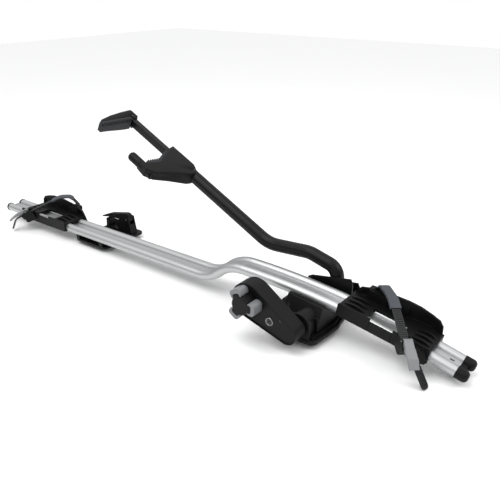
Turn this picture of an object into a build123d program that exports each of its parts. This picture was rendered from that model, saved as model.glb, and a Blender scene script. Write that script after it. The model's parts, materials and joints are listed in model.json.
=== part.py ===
from build123d import *
import os
from math import acos, asin, atan2, cos, degrees, radians, sin, sqrt, tan

# Roof mounted bike carrier: a bent double-tube rail on two feet, a folding clamp arm and two wheel trays.
# Frame: +X to the car's front, +Y to the side away from the knob, +Z up; the roof bars' tops are at z = 0
# and the origin lies under the front foot, on the rail's centre plane. Sizes are in millimetres.

os.makedirs("parts", exist_ok=True)

# Clearances and the overrun of cuts
fit_gap = 0.05
run_gap = 0.3
cut_over = 4.0

# Rail: one extrusion of two tubes and a slotted web, bent to drop behind the front foot
rail_front = 328.0
rail_rear = 1092.0
rail_low = 29.7
rail_rise = 51.3
front_drop = 64.0
arch_radius = 2011.0
bend_radius = 100.0
bend_turn = 40.0
tube_radius = 11.5
tube_offset = 21.3
tube_wall = 1.8
web_top = 3.0
web_bottom = -9.0
slot_width = 15.0
slot_mouth = 8.4
slot_roof = 0.5
slot_lip = 2.5
drain_inset = 17.0
drain_length = 11.0
drain_width = 4.5

# End caps
cap_lip = 0.9
front_cap_nose = 25.0
rear_cap_nose = 9.0
cap_plug = 16.0

# Clamp arm: pivot, raised angle at rest and centreline
pivot_x = 20.0
pivot_z = 37.0
arm_y = 64.0
arm_rise = 27.8
arm_radius = 15.5
arm_wall = 2.2
arm_drop = 12.0
arm_end = 470.0
axle_radius = 11.0
axle_bore = 6.0
hub_radius = 18.5
hub_half = 13.5

# Clamp jaws, along the arm (u), towards the knob side (v) and square to the arm (n)
jaw_half = 18.0
jaw_wall = 3.0
bar_height = 21.0
bar_width = 16.0
bar_round = 4.0
bar_wall = 2.2
bar_front = 706.0
bar_length = 376.0
finger_radius = 11.5
finger_v = 101.0
finger_end = 584.0

# Knob and its housing on the near side of the pivot
housing_near = -136.0
housing_far = -95.0
housing_wall = 3.2
knob_u = 106.0
knob_n = -4.0
knob_end_radius = 40.0
pivot_end_radius = 23.0
knob_reach = 36.0
knob_near = -162.0
shaft_radius = 5.0
lock_u = 43.7
lock_n = -5.0
lock_radius = 6.5

# Front foot
plate_seat = 2.0
plate_thick = 9.0
deck_thick = 4.0
plate_front = 67.0
plate_rear = 62.0
plate_near = 93.0
plate_far = 100.0
foot_bolt_radius = 4.25
foot_bolt_x = -34.0
foot_bolt_spread = 110.0

# Rear foot
rear_foot_x = -713.0
rear_foot_length = 126.0
rear_foot_near = 29.0
rear_foot_far = 122.0
rear_plate_thick = 6.0
rear_bolt_spread = 84.0

# Wheel trays, in their own frame: x outwards along the rail, z above the rail's axis
front_tray_x = 177.0
rear_tray_x = -907.0
tray_half = 101.0
tray_near = 36.5
tray_far = 41.0
tray_wall = 4.5
tray_roof = 14.5
tray_hem = -9.0
wall_height = 52.0

# Wheel straps
strap_width = 19.0
strap_thick = 2.6
sleeve_width = 23.0
sleeve_thick = 7.0
lever_length = 50.0
lever_width = 21.0

# Rail geometry that follows from the sizes above
arch_turn = degrees(acos(1 - front_drop / arch_radius))
arch_start = rail_front - arch_radius * sin(radians(arch_turn))
rail_high = rail_low + rail_rise
bend_climb = 2 * bend_radius * (1 - cos(radians(bend_turn)))
bend_run = (rail_rise - bend_climb) / sin(radians(bend_turn))
bend_span = 2 * bend_radius * sin(radians(bend_turn)) + bend_run * cos(radians(bend_turn))
bend_start = arch_start - bend_span
rail_half_width = tube_offset + tube_radius


def rail_plane(x, lift=0.0):
    """Plane on the front arch of the rail at x, its X along the rail and its Z square to it."""
    turn = asin((x - arch_start) / arch_radius)
    reach = arch_radius + lift
    origin = (arch_start + reach * sin(turn), 0, rail_high - arch_radius + reach * cos(turn))
    return Plane(origin=origin, x_dir=(cos(turn), 0, -sin(turn)), z_dir=(sin(turn), 0, cos(turn)))


def side_plane(y, x=0.0, z=0.0):
    """Upright plane along the car at y; outlines are (x, z) and a positive extrusion goes to -Y."""
    return Plane(origin=(x, y, z), x_dir=(1, 0, 0), z_dir=(0, -1, 0))


arm_turn = radians(arm_rise)
arm_along = Vector(-cos(arm_turn), 0, sin(arm_turn))
arm_square = Vector(sin(arm_turn), 0, cos(arm_turn))
pivot_point = Vector(pivot_x, 0, pivot_z)


def arm_plane(y):
    """Upright plane of the arm at y; outlines are (u, n) and a positive extrusion goes to +Y."""
    return Plane(origin=pivot_point + Vector(0, y, 0), x_dir=arm_along, z_dir=(0, 1, 0))


def claw_plane(n):
    """Plane along the arm at height n over the pivot line; outlines are (u, v), v towards -Y."""
    return Plane(origin=pivot_point + Vector(0, arm_y, 0) + arm_square * n, x_dir=arm_along, z_dir=arm_square)


def bar_plane(u, n=-arm_drop):
    """Plane across the arm at u; outlines are (y, n) with n pointing down the arm's underside."""
    return Plane(origin=pivot_point + Vector(0, arm_y, 0) + arm_along * u + arm_square * n,
                 x_dir=(0, 1, 0), z_dir=arm_along)


def rail_outline(grow=0.0):
    """Outer outline of the rail's section, drawn about its axis."""
    with BuildSketch() as outline:
        with Locations((-tube_offset, 0), (tube_offset, 0)):
            Circle(tube_radius + grow)
        with Locations((0, (web_top + web_bottom) / 2)):
            Rectangle(2 * tube_offset, web_top - web_bottom + 2 * grow)
    return outline.sketch


def straight_rail_space(start_x, end_x, grow):
    """The rail's outer shape, grown by a clearance, along its straight rear run."""
    with BuildPart() as space:
        with BuildSketch(Plane(origin=(start_x, 0, rail_low), x_dir=(0, 1, 0), z_dir=(1, 0, 0))):
            add(rail_outline(grow))
        extrude(amount=end_x - start_x)
    return space.part


def arched_rail_space(start_x, end_x, grow):
    """The rail's outer shape, grown by a clearance, along its front arch."""
    first = rail_plane(start_x)
    last_turn = asin((end_x - arch_start) / arch_radius)
    first_turn = asin((start_x - arch_start) / arch_radius)
    with BuildPart() as space:
        with BuildSketch(Plane(origin=first.origin, x_dir=(0, 1, 0), z_dir=first.x_dir)):
            add(rail_outline(grow))
        revolve(axis=Axis((arch_start, 0, rail_high - arch_radius), (0, 1, 0)),
                revolution_arc=degrees(last_turn - first_turn))
    return space.part


# Rail
with BuildPart() as rail:
    with BuildLine(Plane.XZ) as rail_path:
        rear_run = Line((-rail_rear, rail_low), (bend_start, rail_low))
        lower_bend = JernArc(start=rear_run @ 1, tangent=rear_run % 1, radius=bend_radius, arc_size=bend_turn)
        climb = Line(lower_bend @ 1, (lower_bend @ 1) + (lower_bend % 1) * bend_run)
        upper_bend = JernArc(start=climb @ 1, tangent=climb % 1, radius=bend_radius, arc_size=-bend_turn)
        arch = JernArc(start=upper_bend @ 1, tangent=upper_bend % 1, radius=arch_radius, arc_size=-arch_turn)
    with BuildSketch(Plane(origin=(-rail_rear, 0, rail_low), x_dir=(0, 1, 0), z_dir=(1, 0, 0))):
        add(rail_outline())
        with Locations((-tube_offset, 0), (tube_offset, 0)):
            Circle(tube_radius - tube_wall, mode=Mode.SUBTRACT)
        with Locations((0, (slot_roof + web_bottom + slot_lip) / 2)):
            Rectangle(slot_width, slot_roof - web_bottom - slot_lip, mode=Mode.SUBTRACT)
        with Locations((0, web_bottom)):
            Rectangle(slot_mouth, 2 * slot_lip + cut_over / 2, mode=Mode.SUBTRACT)
    sweep(path=rail_path.line)
    with BuildSketch(rail_plane(rail_front - drain_inset, web_top + cut_over / 4)):
        SlotOverall(drain_length, drain_width)
    extrude(amount=-(web_top - slot_roof + cut_over / 2), mode=Mode.SUBTRACT)
rail.part.label = "rail"
export_step(rail.part, "parts/rail.step")

# End caps: two rounded noses on one bridge, each with a plug that fills its tube
plug_radius = tube_radius - tube_wall - run_gap / 2
nose_radius = tube_radius + cap_lip
nose_round_share = 0.72
bridge_share = 0.5
front_end = rail_plane(rail_front)
front_end_plane = Plane(origin=front_end.origin, x_dir=(0, 1, 0), z_dir=front_end.x_dir)
rear_end_plane = Plane(origin=(-rail_rear, 0, rail_low), x_dir=(0, -1, 0), z_dir=(-1, 0, 0))


def end_cap(plane, nose):
    """A cap with two noses of one length, standing on the rail's end plane."""
    with BuildPart() as cap:
        with BuildSketch(plane):
            with Locations((-tube_offset, 0), (tube_offset, 0)):
                Circle(nose_radius)
        extrude(amount=nose)
        tips = cap.faces().filter_by(GeomType.PLANE).sort_by(Axis(plane.origin, plane.z_dir))[-2:]
        fillet(tips.edges(), min(nose_round_share * nose_radius, nose * nose_round_share))
        with BuildSketch(plane):
            with Locations((0, (web_top + web_bottom) / 2)):
                Rectangle(2 * tube_offset, web_top - web_bottom)
        extrude(amount=nose * bridge_share)
        with BuildSketch(plane):
            with Locations((-tube_offset, 0), (tube_offset, 0)):
                Circle(plug_radius)
        extrude(amount=-cap_plug)
    return cap.part


with BuildPart() as front_end_cap:
    add(end_cap(front_end_plane, front_cap_nose))
front_end_cap.part.label = "front_end_cap"
export_step(front_end_cap.part, "parts/front_end_cap.step")

with BuildPart() as rear_end_cap:
    add(end_cap(rear_end_plane, rear_cap_nose))
rear_end_cap.part.label = "rear_end_cap"
export_step(rear_end_cap.part, "parts/rear_end_cap.step")

# Front foot: a rimmed plate with the near pivot barrel
plate_corner = 14.0
plate_round = 3.0
deck_inset = 8.0
near_slant = 30.0
far_slant = 18.0
plate_top = plate_seat + plate_thick
deck_top = plate_top + deck_thick
barrel_radius = 23.5
barrel_near = -91.0
barrel_far = -42.0
collar_radius = 28.0
collar_length = 6.0
bush_wall = 3.0
bush_flange = 1.6
bush_outer = axle_radius + fit_gap + bush_wall
axle_hole = axle_radius + fit_gap
housing_wall_near = 44.0
housing_wall_far = 84.5
pivot_wall = 4.2
base_screw_places = [(-46.0, -24.0), (-46.0, 24.0), (-24.0, -70.0)]
base_screw_radius = 2.0
base_screw_head = 4.0
base_screw_length = 9.0

plate_outline = [(-plate_rear, -plate_near + near_slant), (-plate_rear + near_slant, -plate_near),
                 (plate_front - plate_corner / 2, -plate_near), (plate_front, 0),
                 (plate_front - far_slant, plate_far), (-plate_rear + far_slant, plate_far),
                 (-plate_rear, plate_far - far_slant)]

with BuildPart() as front_base:
    with BuildSketch(Plane.XY.offset(plate_seat)):
        Polygon(*plate_outline, align=None)
    extrude(amount=plate_thick)
    fillet(front_base.edges().filter_by(Axis.Z), plate_corner)
    fillet(front_base.faces().sort_by(Axis.Z)[-1].edges(), plate_round)
    with BuildSketch(Plane.XY.offset(plate_top - plate_round)):
        Polygon(*plate_outline, align=None)
        offset(amount=-deck_inset, mode=Mode.REPLACE)
    extrude(amount=deck_thick + plate_round)
    with BuildSketch(side_plane(barrel_far, pivot_x, 0)):
        with Locations((0, pivot_z)):
            Circle(barrel_radius)
        with Locations((0, (pivot_z + plate_top) / 2)):
            Rectangle(2 * barrel_radius, pivot_z - plate_top)
    extrude(amount=barrel_far - barrel_near)
    with BuildSketch(side_plane(barrel_near + collar_length, pivot_x, 0)):
        with Locations((0, pivot_z)):
            Circle(collar_radius)
        with Locations((0, (pivot_z + plate_top) / 2)):
            Rectangle(2 * collar_radius, pivot_z - plate_top)
    extrude(amount=collar_length)
    with BuildSketch(side_plane(barrel_far + cut_over, pivot_x, pivot_z)):
        Circle(bush_outer + fit_gap)
    extrude(amount=barrel_far - barrel_near + 2 * cut_over, mode=Mode.SUBTRACT)
    with BuildSketch(Plane.XY.offset(plate_seat - cut_over)):
        with Locations((foot_bolt_x, -foot_bolt_spread / 2), (foot_bolt_x, foot_bolt_spread / 2)):
            Circle(foot_bolt_radius)
    extrude(amount=deck_top + 2 * cut_over, mode=Mode.SUBTRACT)
    with BuildSketch(Plane.XY.offset(deck_top - base_screw_length)):
        with Locations(*base_screw_places):
            Circle(base_screw_radius + fit_gap)
    extrude(amount=base_screw_length + cut_over, mode=Mode.SUBTRACT)
front_base.part.label = "front_base"
export_step(front_base.part, "parts/front_base.step")

# Rubber seat under the front foot
pad_inset = 5.0
with BuildPart() as front_bar_pad:
    with BuildSketch():
        Polygon(*plate_outline, align=None)
        offset(amount=-pad_inset, mode=Mode.REPLACE)
        with Locations((foot_bolt_x, -foot_bolt_spread / 2), (foot_bolt_x, foot_bolt_spread / 2)):
            Circle(foot_bolt_radius, mode=Mode.SUBTRACT)
    extrude(amount=plate_seat)
front_bar_pad.part.label = "front_bar_pad"
export_step(front_bar_pad.part, "parts/front_bar_pad.step")

# Rail saddle: the block that carries the rail over the pivot axle
saddle_front = 50.0
saddle_rear = 38.0
saddle_top_near = 36.4
saddle_foot_near = 58.0
saddle_far = 42.0
saddle_grip = 4.0
nose_x = -41.0
nose_z = 53.0
saddle_nose_radius = 9.0
nose_half = 9.0
latch_width = 12.0
latch_thick = 4.0
latch_height = 34.0
latch_slot = 4.0
saddle_wall = 5.0
saddle_core = 44.0
rail_over_foot = arched_rail_space(-plate_rear - deck_inset, plate_front + deck_inset, fit_gap)

with BuildPart() as rail_saddle:
    with BuildSketch(Plane(origin=(-saddle_rear, 0, 0), x_dir=(0, 1, 0), z_dir=(1, 0, 0))):
        Polygon((-saddle_foot_near, deck_top), (saddle_far, deck_top), (saddle_far, rail_high - saddle_grip),
                (-saddle_top_near, rail_high - saddle_grip), (-saddle_foot_near, pivot_z), align=None)
    extrude(amount=saddle_rear + saddle_front)
    with BuildSketch(side_plane(-saddle_top_near + nose_half, nose_x, nose_z)):
        Circle(saddle_nose_radius)
    extrude(amount=2 * nose_half)
    with BuildSketch(side_plane(-saddle_foot_near, saddle_front - latch_width, deck_top)):
        with Locations((latch_width / 2, latch_height / 2)):
            RectangleRounded(latch_width, latch_height, latch_width / 3)
            SlotOverall(latch_height / 2, latch_slot, rotation=90, mode=Mode.SUBTRACT)
    extrude(amount=latch_thick)
    with BuildSketch(rail_plane(0, -saddle_grip)):
        Rectangle(2 * plate_front + 2 * plate_rear, 2 * plate_far)
    extrude(amount=rail_high, mode=Mode.SUBTRACT)
    add(rail_over_foot, mode=Mode.SUBTRACT)
    with BuildSketch(side_plane(saddle_far + cut_over, pivot_x, pivot_z)):
        Circle(axle_radius + run_gap)
    extrude(amount=saddle_far + saddle_foot_near + latch_thick + 2 * cut_over, mode=Mode.SUBTRACT)
    with BuildSketch(side_plane(barrel_far + fit_gap, pivot_x, 0)):
        with Locations((0, pivot_z)):
            Circle(barrel_radius + fit_gap)
        with Locations((0, pivot_z / 2)):
            Rectangle(2 * (barrel_radius + fit_gap), pivot_z)
    extrude(amount=saddle_foot_near + latch_thick, mode=Mode.SUBTRACT)
    with BuildSketch(Plane.XY):
        with Locations((foot_bolt_x, -foot_bolt_spread / 2), (foot_bolt_x, foot_bolt_spread / 2)):
            Circle(foot_bolt_radius + cut_over)
    extrude(amount=rail_high, mode=Mode.SUBTRACT)
    with BuildSketch(Plane.XY.offset(deck_top)):
        Polygon((-saddle_rear + saddle_wall, barrel_far + saddle_wall), (saddle_front - saddle_wall, barrel_far + saddle_wall),
                (saddle_front - saddle_wall, saddle_far - saddle_wall), (-saddle_rear + saddle_wall, saddle_far - saddle_wall),
                align=None)
    extrude(amount=saddle_core, mode=Mode.SUBTRACT)
rail_saddle.part.label = "rail_saddle"
export_step(rail_saddle.part, "parts/rail_saddle.step")

# Far pivot housing: two side walls round the arm's root, joined low at the front and rear
housing_floor = 3.0
housing_rear_x = -40.0
housing_front_x = 70.0
housing_peak = 101.0
housing_rear_top = 79.0
housing_outer_drop = 24.0
housing_front_sill = 54.0
housing_rear_sill = 62.0
housing_round = 5.0
arm_side_gap = 0.5

housing_inner_half = arm_radius + arm_side_gap
housing_near_face = arm_y - housing_inner_half - pivot_wall
housing_far_face = arm_y + housing_inner_half + pivot_wall


def housing_outline(drop):
    """Side outline of a pivot housing wall, its top lowered by a drop."""
    return [(housing_rear_x, deck_top), (housing_rear_x, housing_rear_top - drop),
            (housing_rear_x + 2 * housing_round, housing_rear_top + housing_round - drop),
            (housing_front_x - housing_round, housing_peak - drop),
            (housing_front_x, housing_peak - 2 * housing_round - drop),
            (housing_front_x, housing_front_sill), (housing_front_x - 2 * housing_round, deck_top)]


with BuildPart() as pivot_housing:
    with BuildSketch(side_plane(housing_near_face + pivot_wall)):
        Polygon(*housing_outline(0), align=None)
    extrude(amount=pivot_wall)
    with BuildSketch(side_plane(housing_far_face)):
        Polygon(*housing_outline(housing_outer_drop), align=None)
    extrude(amount=pivot_wall)
    with BuildSketch(Plane.XY.offset(deck_top)):
        with Locations(((housing_front_x - 2 * housing_round + housing_rear_x) / 2, arm_y)):
            Rectangle(housing_front_x - 2 * housing_round - housing_rear_x, 2 * housing_inner_half)
    extrude(amount=housing_floor)
    with BuildSketch(side_plane(housing_far_face - pivot_wall)):
        Polygon((housing_front_x - 2 * housing_round, deck_top), (housing_front_x, housing_front_sill),
                (housing_front_x - pivot_wall, housing_front_sill),
                (housing_front_x - 2 * housing_round - pivot_wall, deck_top), align=None)
        Polygon((housing_rear_x, deck_top), (housing_rear_x, housing_rear_sill),
                (housing_rear_x + pivot_wall, housing_rear_sill), (housing_rear_x + pivot_wall, deck_top), align=None)
    extrude(amount=2 * housing_inner_half)
    with BuildSketch(side_plane(housing_far_face + pivot_wall, pivot_x, pivot_z)):
        Circle(bush_outer + pivot_wall)
    extrude(amount=pivot_wall + cut_over / 4)
    with BuildSketch(side_plane(housing_far_face + pivot_wall + cut_over, pivot_x, pivot_z)):
        Circle(bush_outer + fit_gap)
    extrude(amount=2 * housing_inner_half + 4 * pivot_wall + cut_over, mode=Mode.SUBTRACT)
    with BuildSketch(Plane.XY.offset(deck_top - cut_over)):
        with Locations((foot_bolt_x, foot_bolt_spread / 2)):
            Circle(foot_bolt_radius + run_gap)
    extrude(amount=housing_floor + 2 * cut_over, mode=Mode.SUBTRACT)
pivot_housing.part.label = "pivot_housing"
export_step(pivot_housing.part, "parts/pivot_housing.step")


def pivot_bush(face_y, length, name):
    """A flanged bush on the pivot line; its flange faces the near side of face_y."""
    with BuildPart() as bush:
        with BuildSketch(side_plane(face_y + length, pivot_x, pivot_z)):
            Circle(bush_outer)
            Circle(axle_hole, mode=Mode.SUBTRACT)
        extrude(amount=length)
        with BuildSketch(side_plane(face_y, pivot_x, pivot_z)):
            Circle(bush_outer + bush_flange)
            Circle(axle_hole, mode=Mode.SUBTRACT)
        extrude(amount=bush_flange)
    bush.part.label = name
    export_step(bush.part, "parts/" + name + ".step")
    return bush.part


near_pivot_bush = pivot_bush(barrel_near, barrel_far - barrel_near, "near_pivot_bush")
middle_pivot_bush = pivot_bush(housing_near_face, pivot_wall, "middle_pivot_bush")
far_pivot_bush = pivot_bush(housing_far_face - pivot_wall, 2 * pivot_wall, "far_pivot_bush")

# Centreline of the arm's gooseneck and tube, as corners in the arm's own plane
neck_foot = (4.5, 10.0)
neck_top = (29.0, 64.0)
neck_end = (104.0, 47.0)
tube_bend_u = 199.0
joint_share = 0.19
root_joint = (neck_end[0] + joint_share * (tube_bend_u - neck_end[0]), neck_end[1] - joint_share * (neck_end[1] + arm_drop))
root_points = [neck_foot, neck_top, neck_end, root_joint]
root_radii = [30.0, 70.0]
tube_points = [root_joint, (tube_bend_u, -arm_drop), (arm_end, -arm_drop)]
tube_bend_radius = 85.0
root_run = Vector(root_points[1][0] - root_points[0][0], root_points[1][1] - root_points[0][1])
cable_port = Plane(origin=(pivot_x, arm_y, pivot_z), x_dir=(0, 1, 0),
                   z_dir=(arm_along * root_run.X + arm_square * root_run.Y).normalized())

tube_screw_u = 463.0
screw_radius = 1.5

# Pivot axle: a tube through the barrel, the saddle, the housing and the arm's hub
axle_reach = 22.0
axle_stub = 5.0
axle_near = housing_far - housing_wall - axle_reach
axle_far = housing_far_face + pivot_wall + axle_stub
cable_port_radius = 4.0
with BuildPart() as pivot_axle:
    with BuildSketch(side_plane(axle_far, pivot_x, pivot_z)):
        Circle(axle_radius)
        Circle(axle_bore, mode=Mode.SUBTRACT)
    extrude(amount=axle_far - axle_near)
    with BuildSketch(cable_port):
        Circle(cable_port_radius)
    extrude(amount=axle_radius + cut_over, mode=Mode.SUBTRACT)
    with BuildSketch(Plane(origin=(pivot_x, axle_near + axle_bore, pivot_z), x_dir=(0, 1, 0), z_dir=tuple(arm_along))):
        SlotOverall(2 * axle_bore + cut_over, 2 * cable_port_radius)
    extrude(amount=axle_radius + cut_over, mode=Mode.SUBTRACT)
pivot_axle.part.label = "pivot_axle"
export_step(pivot_axle.part, "parts/pivot_axle.step")

axle_cap_thick = 4.0
with BuildPart() as axle_end_cap:
    with BuildSketch(side_plane(axle_far + axle_cap_thick, pivot_x, pivot_z)):
        Circle(bush_outer)
    extrude(amount=axle_cap_thick)
    fillet(axle_end_cap.faces().sort_by(Axis.Y)[-1].edges(), axle_cap_thick / 2)
    with BuildSketch(side_plane(axle_far, pivot_x, pivot_z)):
        Circle(axle_bore - fit_gap)
    extrude(amount=axle_cap_thick)
axle_end_cap.part.label = "axle_end_cap"
export_step(axle_end_cap.part, "parts/axle_end_cap.step")

# Arm: hub on the axle, cast gooseneck root and drawn tube
groove_depth = 0.9
groove_width = 3.4
groove_angles = (-62, 40)
cable_bore = 3.2


def arm_section(bore):
    """Round section with lengthwise grooves on the sides that face the knob."""
    Circle(arm_radius)
    with Locations(*[Rotation(0, 0, angle) * Pos(-arm_radius, 0) for angle in groove_angles]):
        Rectangle(2 * groove_depth, groove_width, mode=Mode.SUBTRACT)
    Circle(bore, mode=Mode.SUBTRACT)


with BuildPart() as arm_hub:
    with BuildSketch(arm_plane(arm_y - hub_half)):
        Circle(hub_radius)
        Circle(axle_hole, mode=Mode.SUBTRACT)
    extrude(amount=2 * hub_half)
    fillet(arm_hub.edges().filter_by(GeomType.CIRCLE).sort_by(SortBy.RADIUS)[-2:], cut_over / 4)
    with BuildSketch(cable_port):
        Circle(cable_port_radius)
    extrude(amount=hub_radius + cut_over, mode=Mode.SUBTRACT)
arm_hub.part.label = "arm_hub"
export_step(arm_hub.part, "parts/arm_hub.step")

with BuildPart() as arm_root:
    with BuildLine(arm_plane(arm_y)) as root_line:
        FilletPolyline(*root_points, radius=root_radii)
    root_start = root_line.line % 0
    with BuildSketch(Plane(origin=root_line.line @ 0, x_dir=(0, 1, 0), z_dir=root_start)):
        arm_section(cable_bore)
    sweep(path=root_line.line)
    with BuildSketch(arm_plane(arm_y - arm_radius - cut_over)):
        Circle(hub_radius + fit_gap)
    extrude(amount=2 * (arm_radius + cut_over), mode=Mode.SUBTRACT)
arm_root.part.label = "arm_root"
export_step(arm_root.part, "parts/arm_root.step")

with BuildPart() as arm_tube:
    with BuildLine(arm_plane(arm_y)) as tube_line:
        FilletPolyline(*tube_points, radius=tube_bend_radius)
    tube_start = tube_line.line % 0
    with BuildSketch(Plane(origin=tube_line.line @ 0, x_dir=(0, 1, 0), z_dir=tube_start)):
        arm_section(arm_radius - arm_wall)
    sweep(path=tube_line.line)
    with BuildSketch(claw_plane(-arm_drop)):
        with Locations((tube_screw_u, 0)):
            Circle(screw_radius + fit_gap)
    extrude(amount=2 * arm_radius, mode=Mode.SUBTRACT)
arm_tube.part.label = "arm_tube"
export_step(arm_tube.part, "parts/arm_tube.step")

# Guide bush that centres the sliding bar in the arm tube's mouth
bush_length = 22.0
with BuildPart() as bar_guide_bush:
    with BuildSketch(bar_plane(arm_end - bush_length)):
        Circle(arm_radius - arm_wall - fit_gap)
        RectangleRounded(bar_width + 2 * fit_gap, bar_height + 2 * fit_gap, bar_round, mode=Mode.SUBTRACT)
    extrude(amount=bush_length)
bar_guide_bush.part.label = "bar_guide_bush"
export_step(bar_guide_bush.part, "parts/bar_guide_bush.step")

# Knob housing: a cup that turns with the axle, closed by a face plate inside its rim
face_inset = 2.0
face_thick = 4.0
rim_round = 1.6
back_round = 5.0
socket_length = 8.0
socket_wall = 4.0
boss_radius = 3.6
boss_shares = [(1.2, 0.5), (0.79, -0.65), (0.245, 0.35)]
boss_places = [(knob_u * a, knob_end_radius * b) for a, b in boss_shares]
screw_head_radius = 3.0
screw_head_depth = 1.6
lock_ring_radius = 9.5
lock_ring_proud = 1.6
lock_depth = 18.0
face_outer = housing_near + face_inset
face_inner = face_outer + face_thick


def housing_teardrop(shrink=0.0):
    """Side outline of the knob housing: a large round at the knob and a small one at the pivot."""
    with BuildSketch() as form:
        Circle(pivot_end_radius - shrink)
        with Locations((knob_u, knob_n)):
            Circle(knob_end_radius - shrink)
        make_hull()
    return form.sketch


with BuildPart() as knob_housing_back:
    with BuildSketch(arm_plane(housing_near)):
        add(housing_teardrop())
    extrude(amount=housing_far - housing_near)
    fillet(knob_housing_back.faces().sort_by(Axis.Y)[-1].edges(), back_round)
    fillet(knob_housing_back.faces().sort_by(Axis.Y)[0].edges(), rim_round)
    with BuildSketch(arm_plane(housing_near - cut_over)):
        add(housing_teardrop(housing_wall))
    extrude(amount=housing_far - housing_near + cut_over - housing_wall, mode=Mode.SUBTRACT)
    with BuildSketch(arm_plane(housing_far - housing_wall - socket_length)):
        Circle(axle_radius + socket_wall)
    extrude(amount=socket_length)
    with BuildSketch(arm_plane(face_inner)):
        with Locations(*boss_places):
            Circle(boss_radius)
    extrude(amount=housing_far - housing_wall - face_inner)
    with BuildSketch(arm_plane(housing_far - housing_wall - socket_length)):
        with Locations((knob_u, knob_n)):
            Circle(shaft_radius + socket_wall)
    extrude(amount=socket_length)
    with BuildSketch(arm_plane(housing_near)):
        Circle(axle_hole)
    extrude(amount=housing_far - housing_near + cut_over, mode=Mode.SUBTRACT)
    with BuildSketch(arm_plane(housing_near)):
        with Locations((knob_u, knob_n)):
            Circle(shaft_radius + fit_gap)
    extrude(amount=housing_far - housing_near - housing_wall / 2, mode=Mode.SUBTRACT)
    with BuildSketch(arm_plane(face_inner - cut_over)):
        with Locations(*boss_places):
            Circle(screw_radius + fit_gap)
    extrude(amount=2 * socket_length + cut_over, mode=Mode.SUBTRACT)
knob_housing_back.part.label = "knob_housing_back"
export_step(knob_housing_back.part, "parts/knob_housing_back.step")

knob_dish_rim = 3.0
knob_dish_radius = knob_end_radius - knob_dish_rim
knob_dish_depth = 1.2
with BuildPart() as knob_housing_face:
    with BuildSketch(arm_plane(face_outer)):
        add(housing_teardrop(housing_wall + fit_gap))
    extrude(amount=face_thick)
    with BuildSketch(arm_plane(face_outer)):
        with Locations((knob_u, knob_n)):
            Circle(knob_dish_radius)
    extrude(amount=knob_dish_depth, mode=Mode.SUBTRACT)
    with BuildSketch(arm_plane(face_outer - cut_over)):
        with Locations((knob_u, knob_n)):
            Circle(shaft_radius + fit_gap)
        with Locations((lock_u, lock_n)):
            Circle(lock_ring_radius)
        with Locations(*boss_places):
            Circle(screw_radius + fit_gap)
    extrude(amount=face_thick + 2 * cut_over, mode=Mode.SUBTRACT)
    with BuildSketch(arm_plane(face_outer - cut_over)):
        with Locations(*boss_places):
            Circle(screw_head_radius + fit_gap)
    extrude(amount=cut_over + knob_dish_depth + screw_head_depth, mode=Mode.SUBTRACT)
knob_housing_face.part.label = "knob_housing_face"
export_step(knob_housing_face.part, "parts/knob_housing_face.step")

with BuildPart() as housing_screws:
    with BuildSketch(arm_plane(face_outer + knob_dish_depth)):
        with Locations(*boss_places):
            Circle(screw_head_radius)
    extrude(amount=screw_head_depth)
    with BuildSketch(arm_plane(face_outer + knob_dish_depth)):
        with Locations(*boss_places):
            Circle(screw_radius)
    extrude(amount=2 * socket_length)
housing_screws.part.label = "housing_screws"
export_step(housing_screws.part, "parts/housing_screws.step")

# Lock: a bright bezel pressed in the face plate and a barrel that turns in it
key_slot_length = 7.0
key_slot_width = 1.6
key_slot_depth = 3.0
with BuildPart() as lock_bezel:
    with BuildSketch(arm_plane(face_outer - lock_ring_proud)):
        with Locations((lock_u, lock_n)):
            Circle(lock_ring_radius)
            Circle(lock_radius + fit_gap, mode=Mode.SUBTRACT)
    extrude(amount=lock_depth)
    chamfer(lock_bezel.faces().sort_by(Axis.Y)[0].edges(), lock_ring_proud / 2)
lock_bezel.part.label = "lock_bezel"
export_step(lock_bezel.part, "parts/lock_bezel.step")

with BuildPart() as lock_cylinder:
    with BuildSketch(arm_plane(face_outer - lock_ring_proud / 2)):
        with Locations((lock_u, lock_n)):
            Circle(lock_radius)
    extrude(amount=lock_depth)
    with BuildSketch(arm_plane(face_outer - lock_ring_proud / 2)):
        with Locations((lock_u, lock_n)):
            SlotOverall(key_slot_length, key_slot_width, rotation=90)
    extrude(amount=key_slot_depth, mode=Mode.SUBTRACT)
lock_cylinder.part.label = "lock_cylinder"
export_step(lock_cylinder.part, "parts/lock_cylinder.step")

# Knob: a three-armed core with a grip over each arm, on a shaft that carries the cable spool
knob_arm_width = 19.0
knob_arm_reach = 27.0
knob_hub_radius = 21.0
grip_width = 27.0
grip_start = 16.0
knob_phase = 36.0
knob_base = face_outer + knob_dish_depth - run_gap
grip_inset = 0.8
core_round = 2.5
grip_round_share = 0.3
spool_y = -113.0
spool_half = 5.0
spool_radius = 15.0
spool_groove_radius = 11.0
spool_groove = 4.4
cable_radius = 1.5


def knob_arm_outline(width, start, reach):
    """Three rounded arms about the knob's centre."""
    with BuildSketch() as arms:
        with Locations((knob_u, knob_n)):
            with PolarLocations(0, 3, start_angle=knob_phase):
                with Locations(((start + reach) / 2, 0)):
                    RectangleRounded(reach - start, width, width * grip_round_share)
    return arms.sketch


with BuildPart() as knob_core:
    with BuildSketch(arm_plane(knob_near)):
        add(knob_arm_outline(knob_arm_width, 0, knob_arm_reach))
        with Locations((knob_u, knob_n)):
            Circle(knob_hub_radius)
    extrude(amount=knob_base - knob_near)
    fillet(knob_core.faces().sort_by(Axis.Y)[0].edges(), core_round)
    with BuildSketch(arm_plane(knob_base - 4 * shaft_radius)):
        with Locations((knob_u, knob_n)):
            Circle(shaft_radius + fit_gap)
    extrude(amount=4 * shaft_radius, mode=Mode.SUBTRACT)
knob_core.part.label = "knob_core"
export_step(knob_core.part, "parts/knob_core.step")

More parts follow.
